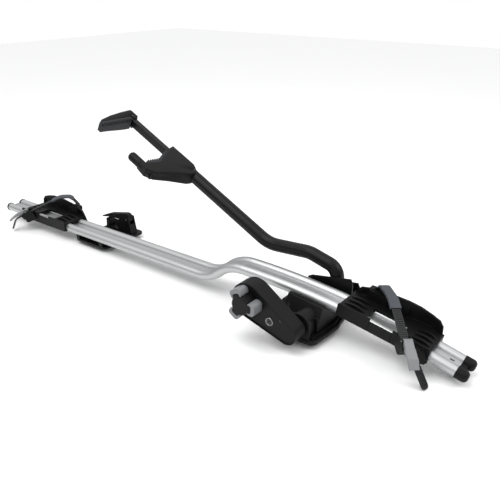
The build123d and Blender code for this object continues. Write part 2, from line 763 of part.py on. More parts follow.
with BuildPart() as knob_grips:
    with BuildSketch(arm_plane(knob_near + grip_inset)):
        add(knob_arm_outline(grip_width, grip_start, knob_reach))
        add(knob_arm_outline(knob_arm_width, 0, knob_arm_reach), mode=Mode.SUBTRACT)
        with Locations((knob_u, knob_n)):
            Circle(knob_hub_radius, mode=Mode.SUBTRACT)
    extrude(amount=knob_base - knob_near - 2 * grip_inset)
knob_grips.part.label = "knob_grips"
export_step(knob_grips.part, "parts/knob_grips.step")

with BuildPart() as knob_shaft:
    with BuildSketch(arm_plane(knob_base - 4 * shaft_radius + fit_gap)):
        with Locations((knob_u, knob_n)):
            Circle(shaft_radius)
    extrude(amount=housing_far - housing_wall - knob_base + 4 * shaft_radius - fit_gap)
knob_shaft.part.label = "knob_shaft"
export_step(knob_shaft.part, "parts/knob_shaft.step")

with BuildPart() as cable_spool:
    with BuildSketch(arm_plane(spool_y - spool_half)):
        with Locations((knob_u, knob_n)):
            Circle(spool_radius)
            Circle(shaft_radius + fit_gap, mode=Mode.SUBTRACT)
    extrude(amount=2 * spool_half)
    with BuildSketch(arm_plane(spool_y - spool_groove / 2)):
        with Locations((knob_u, knob_n)):
            Circle(spool_radius + cut_over)
            Circle(spool_groove_radius, mode=Mode.SUBTRACT)
    extrude(amount=spool_groove, mode=Mode.SUBTRACT)
cable_spool.part.label = "cable_spool"
export_step(cable_spool.part, "parts/cable_spool.step")

# Clamp cable: from the spool through the axle and up the arm into the sliding bar
cable_end = 500.0
cable_turn = 8.0
spool_tangent = spool_groove_radius + cable_radius + run_gap


def arm_point(u, n, y):
    """A point of the arm's own axes, in the row's frame."""
    return pivot_point + Vector(0, y, 0) + arm_along * u + arm_square * n


cable_route = [arm_point(knob_u, knob_n - spool_tangent, spool_y), arm_point(0, 0, spool_y), arm_point(0, 0, arm_y)]
cable_route += [arm_point(u, n, arm_y) for u, n in root_points[1:3] + tube_points[1:2] + [(cable_end, -arm_drop)]]
cable_radii = [cable_turn, cable_turn] + root_radii + [tube_bend_radius]
with BuildPart() as clamp_cable:
    with BuildLine() as cable_line:
        FilletPolyline(*cable_route, radius=cable_radii)
    with BuildSketch(Plane(origin=cable_line.line @ 0, z_dir=cable_line.line % 0)):
        Circle(cable_radius)
    sweep(path=cable_line.line)
clamp_cable.part.label = "clamp_cable"
export_step(clamp_cable.part, "parts/clamp_cable.step")

# Lower jaw: two shells on the arm tube's end, a toothed pad and a hook finger
jaw_round = 4.0
tooth_depth = 2.2
tooth_pitch = 6.5
jaw_tip_v = 122.0
pad_half = 15.0
boss_wall = 2.6
lower_jaw_outline = [(458.0, -4.0), (479.0, -15.5), (558.0, -15.0), (554.0, 4.0), (523.0, 58.0), (539.0, 104.0),
                     (548.0, 112.0), (519.0, jaw_tip_v), (498.0, 101.0), (480.0, 64.0), (455.0, 22.0), (452.0, 8.0)]
lower_pad_back = [(554.0, 4.0), (523.0, 58.0), (539.0, 104.0)]
lower_pad_face = [(547.5, 101.0), (537.0, 53.0), (558.0, 4.0)]
lower_screw_places = [(482.0, 33.0), (506.0, 74.0)]


def toothed_line(points, depth, pitch):
    """The points of a run of V teeth cut to a depth along straight runs."""
    teeth = []
    for start, end in zip(points, points[1:]):
        run = Vector(*end) - Vector(*start)
        count = max(1, round(run.length / pitch))
        inward = Vector(run.Y, -run.X).normalized() * depth
        for step in range(count):
            root = Vector(*start) + run * ((2 * step + 1) / (2 * count)) + inward
            teeth += [tuple(Vector(*start) + run * (step / count))[:2], tuple(root)[:2]]
    return teeth + [points[-1]]


def jaw_bar_space(start_u, end_u, gap):
    """The sliding bar's space between two stations of the arm."""
    with BuildPart() as space:
        with BuildSketch(bar_plane(start_u)):
            RectangleRounded(bar_width + 2 * gap, bar_height + 2 * gap, bar_round)
        extrude(amount=end_u - start_u)
    return space.part


def jaw_tube_space(start_u, end_u):
    """The arm tube's end with the room that its press fit takes."""
    with BuildPart() as space:
        with BuildSketch(bar_plane(start_u)):
            Circle(arm_radius + fit_gap)
        extrude(amount=end_u - start_u)
    return space.part


finger_foot = 505.0
finger_cap_length = 16.0
finger_shoulder = finger_end - finger_cap_length
finger_spigot = 8.0
with BuildPart() as finger_space:
    with BuildSketch(Plane(origin=arm_point(finger_foot - fit_gap, -arm_drop, arm_y - finger_v), z_dir=arm_along)):
        Circle(finger_radius + fit_gap)
    extrude(amount=finger_end - finger_foot)


def lower_jaw_half(side):
    """One half of the lower jaw's shell, on the given side of the arm's middle plane."""
    with BuildPart() as half:
        with BuildSketch(claw_plane(-arm_drop)):
            Polygon(*lower_jaw_outline, align=None)
        extrude(amount=side * jaw_half)
        tops = half.faces().filter_by(GeomType.PLANE).sort_by(Axis(pivot_point, arm_square * side))[-1]
        fillet(tops.edges(), jaw_round)
        with BuildSketch(claw_plane(-arm_drop)):
            Polygon(*lower_jaw_outline, align=None)
            offset(amount=-jaw_wall, kind=Kind.INTERSECTION, mode=Mode.REPLACE)
        extrude(amount=side * (jaw_half - jaw_wall), mode=Mode.SUBTRACT)
        with BuildSketch(claw_plane(-arm_drop)):
            with Locations(*lower_screw_places):
                Circle(screw_radius + boss_wall)
            with Locations((finger_foot + jaw_wall, finger_v)):
                Rectangle(4 * jaw_wall, 2 * finger_radius)
        extrude(amount=side * (jaw_half - jaw_wall))
        add(jaw_tube_space(arm_end - 2 * jaw_half, arm_end), mode=Mode.SUBTRACT)
        add(jaw_bar_space(arm_end, finger_end, run_gap), mode=Mode.SUBTRACT)
        add(finger_space.part, mode=Mode.SUBTRACT)
        with BuildSketch(claw_plane(-arm_drop - jaw_half - cut_over)):
            with Locations(*lower_screw_places):
                Circle(screw_radius + fit_gap)
        extrude(amount=2 * jaw_half + cut_over - jaw_wall, mode=Mode.SUBTRACT)
        with BuildSketch(claw_plane(-arm_drop - jaw_half - cut_over)):
            with Locations(*lower_screw_places):
                Circle(screw_head_radius + fit_gap)
        extrude(amount=cut_over + screw_head_depth + fit_gap, mode=Mode.SUBTRACT)
        with BuildSketch(claw_plane(-arm_drop)):
            with Locations((tube_screw_u, 0)):
                Circle(screw_radius + fit_gap)
        extrude(amount=jaw_half + cut_over, mode=Mode.SUBTRACT)
        with BuildSketch(claw_plane(-arm_drop + jaw_half - screw_head_depth)):
            with Locations((tube_screw_u, 0)):
                Circle(screw_head_radius + fit_gap)
        extrude(amount=cut_over, mode=Mode.SUBTRACT)
    return half.part


with BuildPart() as lower_jaw_top_shell:
    add(lower_jaw_half(1))
lower_jaw_top_shell.part.label = "lower_jaw_top_shell"
export_step(lower_jaw_top_shell.part, "parts/lower_jaw_top_shell.step")

with BuildPart() as lower_jaw_bottom_shell:
    add(lower_jaw_half(-1))
lower_jaw_bottom_shell.part.label = "lower_jaw_bottom_shell"
export_step(lower_jaw_bottom_shell.part, "parts/lower_jaw_bottom_shell.step")

with BuildPart() as lower_jaw_pad:
    with BuildSketch(claw_plane(-arm_drop - pad_half)):
        Polygon(*lower_pad_back, *toothed_line(lower_pad_face, tooth_depth, tooth_pitch), align=None)
    extrude(amount=2 * pad_half)
    add(jaw_bar_space(arm_end, finger_end, run_gap), mode=Mode.SUBTRACT)
    add(finger_space.part, mode=Mode.SUBTRACT)
lower_jaw_pad.part.label = "lower_jaw_pad"
export_step(lower_jaw_pad.part, "parts/lower_jaw_pad.step")

with BuildPart() as hook_finger:
    with BuildSketch(Plane(origin=arm_point(finger_foot, -arm_drop, arm_y - finger_v), z_dir=arm_along)):
        Circle(finger_radius)
    extrude(amount=finger_shoulder - finger_foot)
    with BuildSketch(Plane(origin=arm_point(finger_shoulder, -arm_drop, arm_y - finger_v), z_dir=arm_along)):
        Circle(finger_spigot)
    extrude(amount=(finger_end - finger_shoulder) / 2)
hook_finger.part.label = "hook_finger"
export_step(hook_finger.part, "parts/hook_finger.step")

with BuildPart() as finger_cap:
    with BuildSketch(Plane(origin=arm_point(finger_shoulder, -arm_drop, arm_y - finger_v), z_dir=arm_along)):
        Circle(finger_radius)
    extrude(amount=finger_end - finger_shoulder)
    fillet(finger_cap.faces().sort_by(Axis(pivot_point, arm_along))[-1].edges(), finger_radius * nose_round_share)
    with BuildSketch(Plane(origin=arm_point(finger_shoulder, -arm_drop, arm_y - finger_v), z_dir=arm_along)):
        Circle(finger_spigot + fit_gap)
    extrude(amount=(finger_end - finger_shoulder) / 2 + fit_gap, mode=Mode.SUBTRACT)
finger_cap.part.label = "finger_cap"
export_step(finger_cap.part, "parts/finger_cap.step")

with BuildPart() as lower_jaw_screws:
    with BuildSketch(claw_plane(-arm_drop - jaw_half)):
        with Locations(*lower_screw_places):
            Circle(screw_head_radius)
    extrude(amount=screw_head_depth)
    with BuildSketch(claw_plane(-arm_drop - jaw_half)):
        with Locations(*lower_screw_places):
            Circle(screw_radius)
    extrude(amount=2 * jaw_half - 2 * jaw_wall)
lower_jaw_screws.part.label = "lower_jaw_screws"
export_step(lower_jaw_screws.part, "parts/lower_jaw_screws.step")

# Short screw that pins the lower jaw to the arm tube
with BuildPart() as jaw_tube_screw:
    with BuildSketch(claw_plane(-arm_drop + jaw_half - screw_head_depth)):
        with Locations((tube_screw_u, 0)):
            Circle(screw_head_radius)
    extrude(amount=screw_head_depth)
    with BuildSketch(claw_plane(-arm_drop + jaw_half - screw_head_depth)):
        with Locations((tube_screw_u, 0)):
            Circle(screw_radius)
    extrude(amount=-(jaw_half - screw_head_depth - arm_radius + arm_wall))
jaw_tube_screw.part.label = "jaw_tube_screw"
export_step(jaw_tube_screw.part, "parts/jaw_tube_screw.step")

# Sliding bar: carries the upper jaw and runs inside the arm tube
bar_rear = bar_front - bar_length
with BuildPart() as sliding_bar:
    with BuildSketch(bar_plane(bar_rear)):
        RectangleRounded(bar_width, bar_height, bar_round)
        RectangleRounded(bar_width - 2 * bar_wall, bar_height - 2 * bar_wall, bar_round - bar_wall, mode=Mode.SUBTRACT)
    extrude(amount=bar_length)
    with BuildSketch(claw_plane(-arm_drop)):
        with Locations((upper_screw_u := bar_front - bar_height / 2, 0)):
            Circle(screw_radius + fit_gap)
    extrude(amount=bar_height, mode=Mode.SUBTRACT)
sliding_bar.part.label = "sliding_bar"
export_step(sliding_bar.part, "parts/sliding_bar.step")

# Guide on the bar's hidden end, running in the arm tube's bore
guide_length = 20.0
with BuildPart() as bar_end_guide:
    with BuildSketch(bar_plane(bar_rear)):
        Circle(arm_radius - arm_wall - fit_gap)
        RectangleRounded(bar_width + 2 * fit_gap, bar_height + 2 * fit_gap, bar_round, mode=Mode.SUBTRACT)
    extrude(amount=guide_length)
bar_end_guide.part.label = "bar_end_guide"
export_step(bar_end_guide.part, "parts/bar_end_guide.step")

# Upper jaw: a hooked shell on the bar's end with a slanting toothed pad
upper_top = 3.0
upper_bottom = -29.0
upper_roof = 3.0
upper_jaw_outline = [(700.0, 106.0), (709.0, 92.0), (716.0, 61.0), (720.0, 22.0), (721.0, -11.0), (717.0, -15.0),
                     (692.0, -15.0), (686.0, -9.0), (686.0, 3.0), (694.0, 3.0)]
upper_pad_outline = [(694.0, 3.0), (684.0, 3.0), (688.0, 106.0), (700.0, 106.0)]
pad_lean = 7.0
upper_boss_outline = [(692.0, -13.0), (718.0, -13.0), (718.0, 13.0), (697.0, 13.0), (697.0, 3.0), (688.0, 3.0),
                      (688.0, -9.0)]
with BuildPart() as upper_jaw_shell:
    with BuildSketch(claw_plane(upper_bottom)):
        Polygon(*upper_jaw_outline, align=None)
    extrude(amount=upper_top - upper_bottom)
    fillet(upper_jaw_shell.faces().filter_by(GeomType.PLANE).sort_by(Axis(pivot_point, arm_square))[-1].edges(), jaw_round)
    with BuildSketch(claw_plane(upper_bottom)):
        Polygon(*upper_jaw_outline, align=None)
        offset(amount=-jaw_wall, kind=Kind.INTERSECTION, mode=Mode.REPLACE)
    extrude(amount=upper_top - upper_bottom - upper_roof, mode=Mode.SUBTRACT)
    with BuildSketch(claw_plane(upper_bottom)):
        Polygon(*upper_boss_outline, align=None)
    extrude(amount=upper_top - upper_bottom - upper_roof)
    add(jaw_bar_space(bar_front - 2 * bar_height, bar_front + fit_gap, fit_gap), mode=Mode.SUBTRACT)
    with BuildSketch(claw_plane(upper_top - screw_head_depth - jaw_wall)):
        with Locations((upper_screw_u, 0)):
            Circle(screw_radius + fit_gap)
    extrude(amount=bar_height, mode=Mode.SUBTRACT)
    with BuildSketch(claw_plane(upper_top - screw_head_depth)):
        with Locations((upper_screw_u, 0)):
            Circle(screw_head_radius + fit_gap)
    extrude(amount=bar_height, mode=Mode.SUBTRACT)
upper_jaw_shell.part.label = "upper_jaw_shell"
export_step(upper_jaw_shell.part, "parts/upper_jaw_shell.step")

with BuildPart() as upper_jaw_pad:
    with BuildSketch(claw_plane(upper_bottom)):
        Polygon(*toothed_line(upper_pad_outline[1:3], -tooth_depth, tooth_pitch), upper_pad_outline[3], upper_pad_outline[0],
                align=None)
    extrude(amount=upper_top - upper_bottom)
    add(jaw_bar_space(bar_front - 2 * bar_height, bar_front + fit_gap, fit_gap), mode=Mode.SUBTRACT)
upper_jaw_pad.part.label = "upper_jaw_pad"
export_step(upper_jaw_pad.part, "parts/upper_jaw_pad.step")

with BuildPart() as upper_jaw_screw:
    with BuildSketch(claw_plane(upper_top - screw_head_depth)):
        with Locations((upper_screw_u, 0)):
            Circle(screw_head_radius)
    extrude(amount=screw_head_depth)
    with BuildSketch(claw_plane(upper_top - screw_head_depth)):
        with Locations((upper_screw_u, 0)):
            Circle(screw_radius)
    extrude(amount=-2 * (jaw_wall + fit_gap))
upper_jaw_screw.part.label = "upper_jaw_screw"
export_step(upper_jaw_screw.part, "parts/upper_jaw_screw.step")

# Rear foot: plate, cradles under the rail, slider in the rail's slot and the cam tower
rear_plate_seat = 2.0
rear_plate_top = rear_plate_seat + rear_plate_thick
rear_corner = 14.0
rear_bolt_y = 95.0
cradle_thick = 12.0
cradle_spread = 96.0
cradle_neck = 13.0
tower_near = 83.0
tower_far = 107.0
cheek_thick = 4.0
cam_x = -680.0
cam_z = 50.0
cam_radius = 3.0
tower_outline = [(-768.0, 8.0), (-766.0, 36.0), (-757.0, 36.0), (-754.0, 13.0), (-716.0, 13.0), (-742.0, 42.0),
                 (-700.0, 42.0), (-690.0, 58.0), (-671.0, 58.0), (-662.0, 8.0)]
cam_lever_outline = [(-788.0, 37.5), (-753.0, 52.0), (-686.0, 66.0), (-676.0, 64.0), (-670.0, 54.0), (-672.0, 44.0),
                     (-685.0, 42.5), (-742.0, 42.5), (-760.0, 40.0), (-787.0, 35.0)]
slot_floor = rail_low + web_bottom + slot_lip
pocket_floor = rear_plate_top + cheek_thick
tower_pocket_outline = [(-790.0, 36.5), (-757.0, 36.5), (-757.0, pocket_floor), (-714.0, pocket_floor), (-714.0, 36.0),
                        (-660.0, 36.0), (-660.0, 80.0), (-790.0, 80.0)]

with BuildPart() as rear_foot:
    with BuildSketch(Plane.XY.offset(rear_plate_seat)):
        with Locations((rear_foot_x, (rear_foot_far - rear_foot_near) / 2)):
            RectangleRounded(rear_foot_length, rear_foot_far + rear_foot_near, rear_corner)
    extrude(amount=rear_plate_thick)
    with BuildSketch(Plane.XY.offset(rear_plate_top)):
        with Locations((rear_foot_x - cradle_spread / 2, 0), (rear_foot_x + cradle_spread / 2, 0)):
            Rectangle(cradle_thick, 2 * rear_foot_near)
    extrude(amount=rail_low - rear_plate_top - tube_radius / 2)
    add(straight_rail_space(rear_foot_x - rear_foot_length, rear_foot_x + rear_foot_length, run_gap), mode=Mode.SUBTRACT)
    with BuildSketch(side_plane(tower_far)):
        Polygon(*tower_outline, align=None)
    extrude(amount=tower_far - tower_near)
    with BuildSketch(side_plane(tower_far - cheek_thick)):
        Polygon(*tower_pocket_outline, align=None)
    extrude(amount=tower_far - tower_near - 2 * cheek_thick, mode=Mode.SUBTRACT)
    with BuildSketch(side_plane(tower_far + cut_over, cam_x, cam_z)):
        Circle(cam_radius + fit_gap)
    extrude(amount=tower_far - tower_near + 2 * cut_over, mode=Mode.SUBTRACT)
    with BuildSketch(Plane.XY):
        with Locations((rear_foot_x, rear_bolt_y), (rear_foot_x, rear_bolt_y - rear_bolt_spread)):
            Circle(foot_bolt_radius)
    extrude(amount=rear_plate_top + cheek_thick + cut_over / 4, mode=Mode.SUBTRACT)
rear_foot.part.label = "rear_foot"
export_step(rear_foot.part, "parts/rear_foot.step")

with BuildPart() as rear_bar_pad:
    with BuildSketch():
        with Locations((rear_foot_x, (rear_foot_far - rear_foot_near) / 2)):
            RectangleRounded(rear_foot_length - 2 * pad_inset, rear_foot_far + rear_foot_near - 2 * pad_inset, rear_corner)
        with Locations((rear_foot_x, rear_bolt_y), (rear_foot_x, rear_bolt_y - rear_bolt_spread)):
            Circle(foot_bolt_radius, mode=Mode.SUBTRACT)
    extrude(amount=rear_plate_seat)
rear_bar_pad.part.label = "rear_bar_pad"
export_step(rear_bar_pad.part, "parts/rear_bar_pad.step")

with BuildPart() as rear_foot_slider:
    with BuildSketch(Plane(origin=(rear_foot_x - cradle_spread / 4, 0, 0), x_dir=(0, 1, 0), z_dir=(1, 0, 0))):
        with Locations((0, (rear_plate_top + rail_low + slot_roof - run_gap) / 2)):
            Rectangle(slot_mouth - 2 * run_gap, rail_low + slot_roof - run_gap - rear_plate_top)
        with Locations((0, (slot_floor + rail_low + slot_roof) / 2)):
            Rectangle(slot_width - 2 * run_gap, rail_low + slot_roof - slot_floor - 2 * run_gap)
    extrude(amount=cradle_spread / 2)
    with BuildSketch(Plane.XY.offset(rear_plate_top)):
        with Locations((rear_foot_x, rear_bolt_y - rear_bolt_spread)):
            Circle(foot_bolt_radius + cut_over)
    extrude(amount=rail_low, mode=Mode.SUBTRACT)
rear_foot_slider.part.label = "rear_foot_slider"
export_step(rear_foot_slider.part, "parts/rear_foot_slider.step")

with BuildPart() as cam_pin:
    with BuildSketch(side_plane(tower_far + fit_gap, cam_x, cam_z)):
        Circle(cam_radius)
    extrude(amount=tower_far - tower_near + 2 * fit_gap)
cam_pin.part.label = "cam_pin"
export_step(cam_pin.part, "parts/cam_pin.step")

with BuildPart() as cam_lever:
    with BuildSketch(side_plane(tower_far - cheek_thick - run_gap)):
        Polygon(*cam_lever_outline, align=None)
    extrude(amount=tower_far - tower_near - 2 * cheek_thick - 2 * run_gap)
    with BuildSketch(side_plane(tower_far, cam_x, cam_z)):
        Circle(cam_radius + fit_gap)
    extrude(amount=tower_far - tower_near, mode=Mode.SUBTRACT)
cam_lever.part.label = "cam_lever"
export_step(cam_lever.part, "parts/cam_lever.step")

# Wheel trays: drawn once in their own frame, then set on the arch and, mirrored, on the rear run
skirt_thick = 2.5
skirt_top = 21.0
skirt_dip = 7.0
skirt_near = tray_near + skirt_thick / 2
skirt_back = skirt_near - skirt_thick
skirt_groove = 1.0
skirt_split_shares = (-0.27, 0.22)
rim_thick = 2.5
rim_drop = 1.5
ridge_rise = 6.0
ridge_width = 4.5
ridge_run_shares = [(-0.95, -0.46), (0.53, 0.95)]
ridge_place_shares = (-0.50, -0.06, 0.40)
window_end_shares = (-0.40, 0.36)
window_far = 9.0
far_wall_shares = [(-1.05, 0.04), (-0.89, 0.60), (-0.68, 0.75), (-0.40, 0.86), (-0.09, 0.94), (0.15, 0.98), (0.41, 0.97),
                   (0.66, 0.88), (0.84, 0.78), (0.93, 0.59), (0.97, 0.20), (0.97, -0.17), (-1.0, -0.17)]
front_pocket_shares = [(0.20, 0.34), (0.21, 0.77), (0.58, 0.77), (0.83, 0.65), (0.89, 0.27), (0.75, 0.31), (0.73, 0.38),
                       (0.60, 0.36)]
rear_pocket_shares = [(-0.86, 0.32), (-0.80, 0.56), (-0.70, 0.62), (-0.71, 0.34)]
pocket_depth = 2.6
seat_pad_shares = [(-0.70, 0.0), (-0.67, 0.95), (-0.46, 1.0), (-0.25, 0.45), (-0.24, 0.0)]
seat_pad_thick = 5.5
seat_pad_top = 38.0
anchor_shares = [(-0.72, 0.53), (-0.72, 0.73), (-0.50, 0.80), (-0.46, 0.53)]
anchor_thick = 12.0
tray_screw_x = 70.0
tray_screw_z = 0.0
tray_screw_length = 7.0

# Strap path in an upright plane that crosses the tray aslant, from the far wall to the near buckle
strap_root = (-46.0, 39.0)
strap_turn = -41.0
strap_heading = Vector(1, 0, 0).rotate(Axis.Z, strap_turn)
strap_side = Vector(strap_heading.Y, -strap_heading.X, 0)
strap_points = [(-15.0, 38.0), (5.0, 59.5), (47.0, 59.5)]
rear_strap_points = [(-20.0, 38.0), (2.0, 66.1), (33.0, 66.1)]
strap_exit = (139.0, 16.0)
strap_radii = [16.0, 45.0]
tail_reach = 17.0
front_tail_turn = 27.0
front_tail = [(24.0, -4.5), (56.0, -36.0)]
rear_tail_turn = 0.0
rear_tail = [(18.0, -2.5), (30.0, -32.0)]
tail_radius = 12.0
ladder_pitch = 5.0
ladder_rise = 0.7
ladder_start_share = 0.3
sleeve_start_share = 0.73
sleeve_end_share = 0.23
buckle_rear = -20.0
buckle_front = 13.0
buckle_cheek = 2.5
buckle_side_gap = 0.5
buckle_base = 3.0
buckle_pin_p = -5.0
buckle_pin_q = 7.6
buckle_pin_radius = 2.0
buckle_ear = 4.6
lever_hub = 4.6
seat_half = 10.0
seat_rear = 22.0
seat_front = 9.0
seat_sill = 4.0
strap_gap = 0.3
fin_shares = [(0.80, 0.75), (0.87, 0.98), (1.02, -0.30), (0.98, -0.62), (0.90, -0.75), (0.84, -0.10)]
fin_thick = 4.0
fin_hole_shares = (0.86, 0.72)
fin_hole_radius = 2.0


def scaled(shares, width, height):
    """Points given as shares of a width and a height."""
    return [(width * a, height * b) for a, b in shares]


def strap_plane():
    """Upright plane of the strap's path; outlines are (s, h) along the strap's heading and up."""
    return Plane(origin=(strap_root[0], strap_root[1], 0), x_dir=tuple(strap_heading), z_dir=tuple(strap_side))


def band_sweep(plane, points, radii, width, thick):
    """A flat band swept along a rounded path in an upright plane."""
    with BuildPart() as band:
        with BuildLine(plane) as line:
            FilletPolyline(*points, radius=radii)
        with BuildSketch(Plane(origin=line.line @ 0, x_dir=plane.z_dir, z_dir=line.line % 0)):
            Rectangle(width, thick)
        sweep(path=line.line)
    return band.part


def on_line(start, end, share):
    """The point at a share of the way from start to end."""
    return tuple(a + (b - a) * share for a, b in zip(start, end))


buckle_turn = degrees(atan2(strap_points[2][1] - strap_exit[1], strap_exit[0] - strap_points[2][0]))
tail_start = (strap_exit[0] + tail_reach * cos(radians(buckle_turn)), strap_exit[1] - tail_reach * sin(radians(buckle_turn)))
buckle_home = Location(strap_plane()) * Pos(strap_exit[0], strap_exit[1], 0) * Rotation(0, 0, -buckle_turn)


def buckle_plane(side=0.0):
    """The buckle's own plane: (p, q) along the strap's last run and square to it, at a side offset."""
    return Plane(buckle_home * Pos(0, 0, side))


def ridge_outline(start, end):
    """Side outline of a ridge that the tyre rests on, arched over the tray's floor."""
    with BuildSketch() as outline:
        with BuildLine():
            ThreePointArc((start, tray_roof), ((start + end) / 2, tray_roof + ridge_rise), (end, tray_roof))
            Polyline((end, tray_roof), (end, tray_roof - ridge_width / 2), (start, tray_roof - ridge_width / 2),
                     (start, tray_roof))
        make_face()
    return outline.sketch


def buckle_seat(floor, grow):
    """The bracket under the buckle, over a level floor, with room for a fit where it grows."""
    with BuildPart() as seat:
        with BuildSketch(buckle_plane(-seat_half - grow)):
            with Locations(((seat_front - seat_rear) / 2, -wall_height / 4)):
                Rectangle(seat_front + seat_rear + 2 * grow, wall_height / 2 + 2 * grow)
        extrude(amount=2 * (seat_half + grow))
        with BuildSketch(Plane.XY.offset(floor - grow - wall_height)):
            Rectangle(4 * tray_half, 4 * tray_half)
        extrude(amount=wall_height, mode=Mode.SUBTRACT)
    return seat.part


def wheel_tray(points):
    """A wheel tray in its own frame, before the rail's shape is cut from it."""
    window_start, window_end = [tray_half * share for share in window_end_shares]
    with BuildPart() as tray:
        with BuildSketch(Plane.XY.offset(tray_hem)):
            with Locations((0, (tray_far - skirt_back) / 2)):
                Rectangle(2 * tray_half, tray_far + skirt_back)
        extrude(amount=tray_roof - tray_hem)
        with BuildSketch(Plane.XY.offset(tray_hem)):
            with Locations((0, rim_thick / 2 - skirt_back)):
                Rectangle(2 * (tray_half - tray_wall), rim_thick)
        extrude(amount=skirt_top - rim_drop - tray_hem)
        with BuildSketch(side_plane(tray_far)):
            Polygon(*scaled(far_wall_shares, tray_half, wall_height), align=None)
        extrude(amount=tray_wall)
        for ridge_shares in ridge_run_shares:
            start, end = [tray_half * share for share in ridge_shares]
            for place in ridge_place_shares:
                with BuildSketch(side_plane(tray_near * place + ridge_width / 2)):
                    add(ridge_outline(start, end))
                extrude(amount=ridge_width)
        with BuildSketch(Plane.XY.offset(tray_roof - ridge_width)):
            with Locations((0, tray_far - tray_wall)):
                Polygon(*[(tray_half * a, -seat_pad_thick * b) for a, b in seat_pad_shares], align=None)
        extrude(amount=seat_pad_top - tray_roof + ridge_width)
        with BuildSketch(side_plane(tray_far + anchor_thick)):
            Polygon(*scaled(anchor_shares, tray_half, wall_height), align=None)
        extrude(amount=anchor_thick)
        with BuildSketch(Plane.XY):
            with Locations(((window_start + window_end) / 2, (window_far - tray_near) / 2)):
                RectangleRounded(window_end - window_start, window_far + tray_near + 2 * tray_wall, tray_wall)
        extrude(amount=wall_height, mode=Mode.SUBTRACT)
        with BuildSketch(side_plane(tray_far - tray_wall + pocket_depth)):
            Polygon(*scaled(front_pocket_shares, tray_half, wall_height), align=None)
            Polygon(*scaled(rear_pocket_shares, tray_half, wall_height), align=None)
        extrude(amount=pocket_depth, mode=Mode.SUBTRACT)
        add(buckle_seat(tray_hem, 0))
        with BuildSketch(Plane.XY.offset(tray_hem)):
            with Locations((0, -skirt_near - fit_gap + (skirt_thick + fit_gap) / 2)):
                Rectangle(2 * tray_half, skirt_thick + fit_gap)
        extrude(amount=seat_sill - tray_hem, mode=Mode.SUBTRACT)
        with BuildSketch(buckle_plane(-cheek_outer - run_gap)):
            with Locations((0, wall_height / 2 - strap_thick / 2 - fit_gap - buckle_base)):
                Rectangle(2 * tray_half, wall_height)
        extrude(amount=2 * (cheek_outer + run_gap), mode=Mode.SUBTRACT)
        with BuildSketch(side_plane(tray_far + cut_over)):
            with Locations((-tray_screw_x, tray_screw_z), (tray_screw_x, tray_screw_z)):
                Circle(screw_radius + fit_gap)
        extrude(amount=tray_screw_length + fit_gap + cut_over, mode=Mode.SUBTRACT)
        add(band_sweep(strap_plane(), points + [tail_start], strap_radii, strap_width + 2 * strap_gap,
                       strap_thick + 2 * fit_gap), mode=Mode.SUBTRACT)
    return tray.part


def tray_skirt():
    """The smooth near panel of a tray, lower in its middle, with two split grooves and a fin by the strap's tail."""
    splits = [tray_half * share for share in skirt_split_shares]
    with BuildPart() as skirt:
        with BuildSketch(side_plane(-skirt_back)):
            with Locations((0, (skirt_top + tray_hem) / 2)):
                RectangleRounded(2 * tray_half, skirt_top - tray_hem, tray_wall)
            with Locations(((splits[0] + splits[1]) / 2, skirt_top)):
                Rectangle(splits[1] - splits[0], 2 * skirt_dip, mode=Mode.SUBTRACT)
        extrude(amount=skirt_thick)
        with BuildSketch(side_plane(-skirt_near + skirt_groove)):
            with Locations(*[(split, 0) for split in splits]):
                Rectangle(skirt_groove, 2 * skirt_top + cut_over)
        extrude(amount=skirt_groove, mode=Mode.SUBTRACT)
        with BuildSketch(side_plane(-skirt_near)):
            Polygon(*scaled(fin_shares, tray_half, skirt_top), align=None)
            with Locations((tray_half * fin_hole_shares[0], skirt_top * fin_hole_shares[1])):
                Circle(fin_hole_radius, mode=Mode.SUBTRACT)
        extrude(amount=fin_thick)
        add(buckle_seat(seat_sill, fit_gap), mode=Mode.SUBTRACT)
        with BuildSketch(buckle_plane(-cheek_outer - run_gap)):
            with Locations((0, wall_height / 2 - strap_thick / 2 - fit_gap - buckle_base)):
                Rectangle(2 * tray_half, wall_height)
        extrude(amount=2 * (cheek_outer + run_gap), mode=Mode.SUBTRACT)
    return skirt.part


def tail_plane(turn):
    """Upright plane of the strap's tail, turned from the strap's own plane in front of the buckle."""
    return Plane(Location(strap_plane()) * Pos(tail_start[0], 0, 0) * Rotation(0, turn, 0))


def wheel_strap(points, turn, tail):
    """The ladder strap from the far wall, over the wheel's place and through the buckle, to its tail."""
    with BuildPart() as strap:
        add(band_sweep(strap_plane(), points + [tail_start], strap_radii, strap_width, strap_thick))
        add(band_sweep(tail_plane(turn), [(0, tail_start[1])] + tail, tail_radius, strap_width, strap_thick))
    return strap.part


def strap_sleeve(points):
    """The soft sleeve on the strap's arch."""
    path = [on_line(points[0], points[1], sleeve_start_share), points[1], points[2],
            on_line(points[2], strap_exit, sleeve_end_share)]
    with BuildPart() as sleeve:
        add(band_sweep(strap_plane(), path, strap_radii, sleeve_width, sleeve_thick))
        add(band_sweep(strap_plane(), points + [strap_exit], strap_radii, strap_width + 2 * fit_gap,
                       strap_thick + 2 * fit_gap), mode=Mode.SUBTRACT)
    return sleeve.part


cheek_inner = strap_width / 2 + buckle_side_gap
cheek_outer = cheek_inner + buckle_cheek


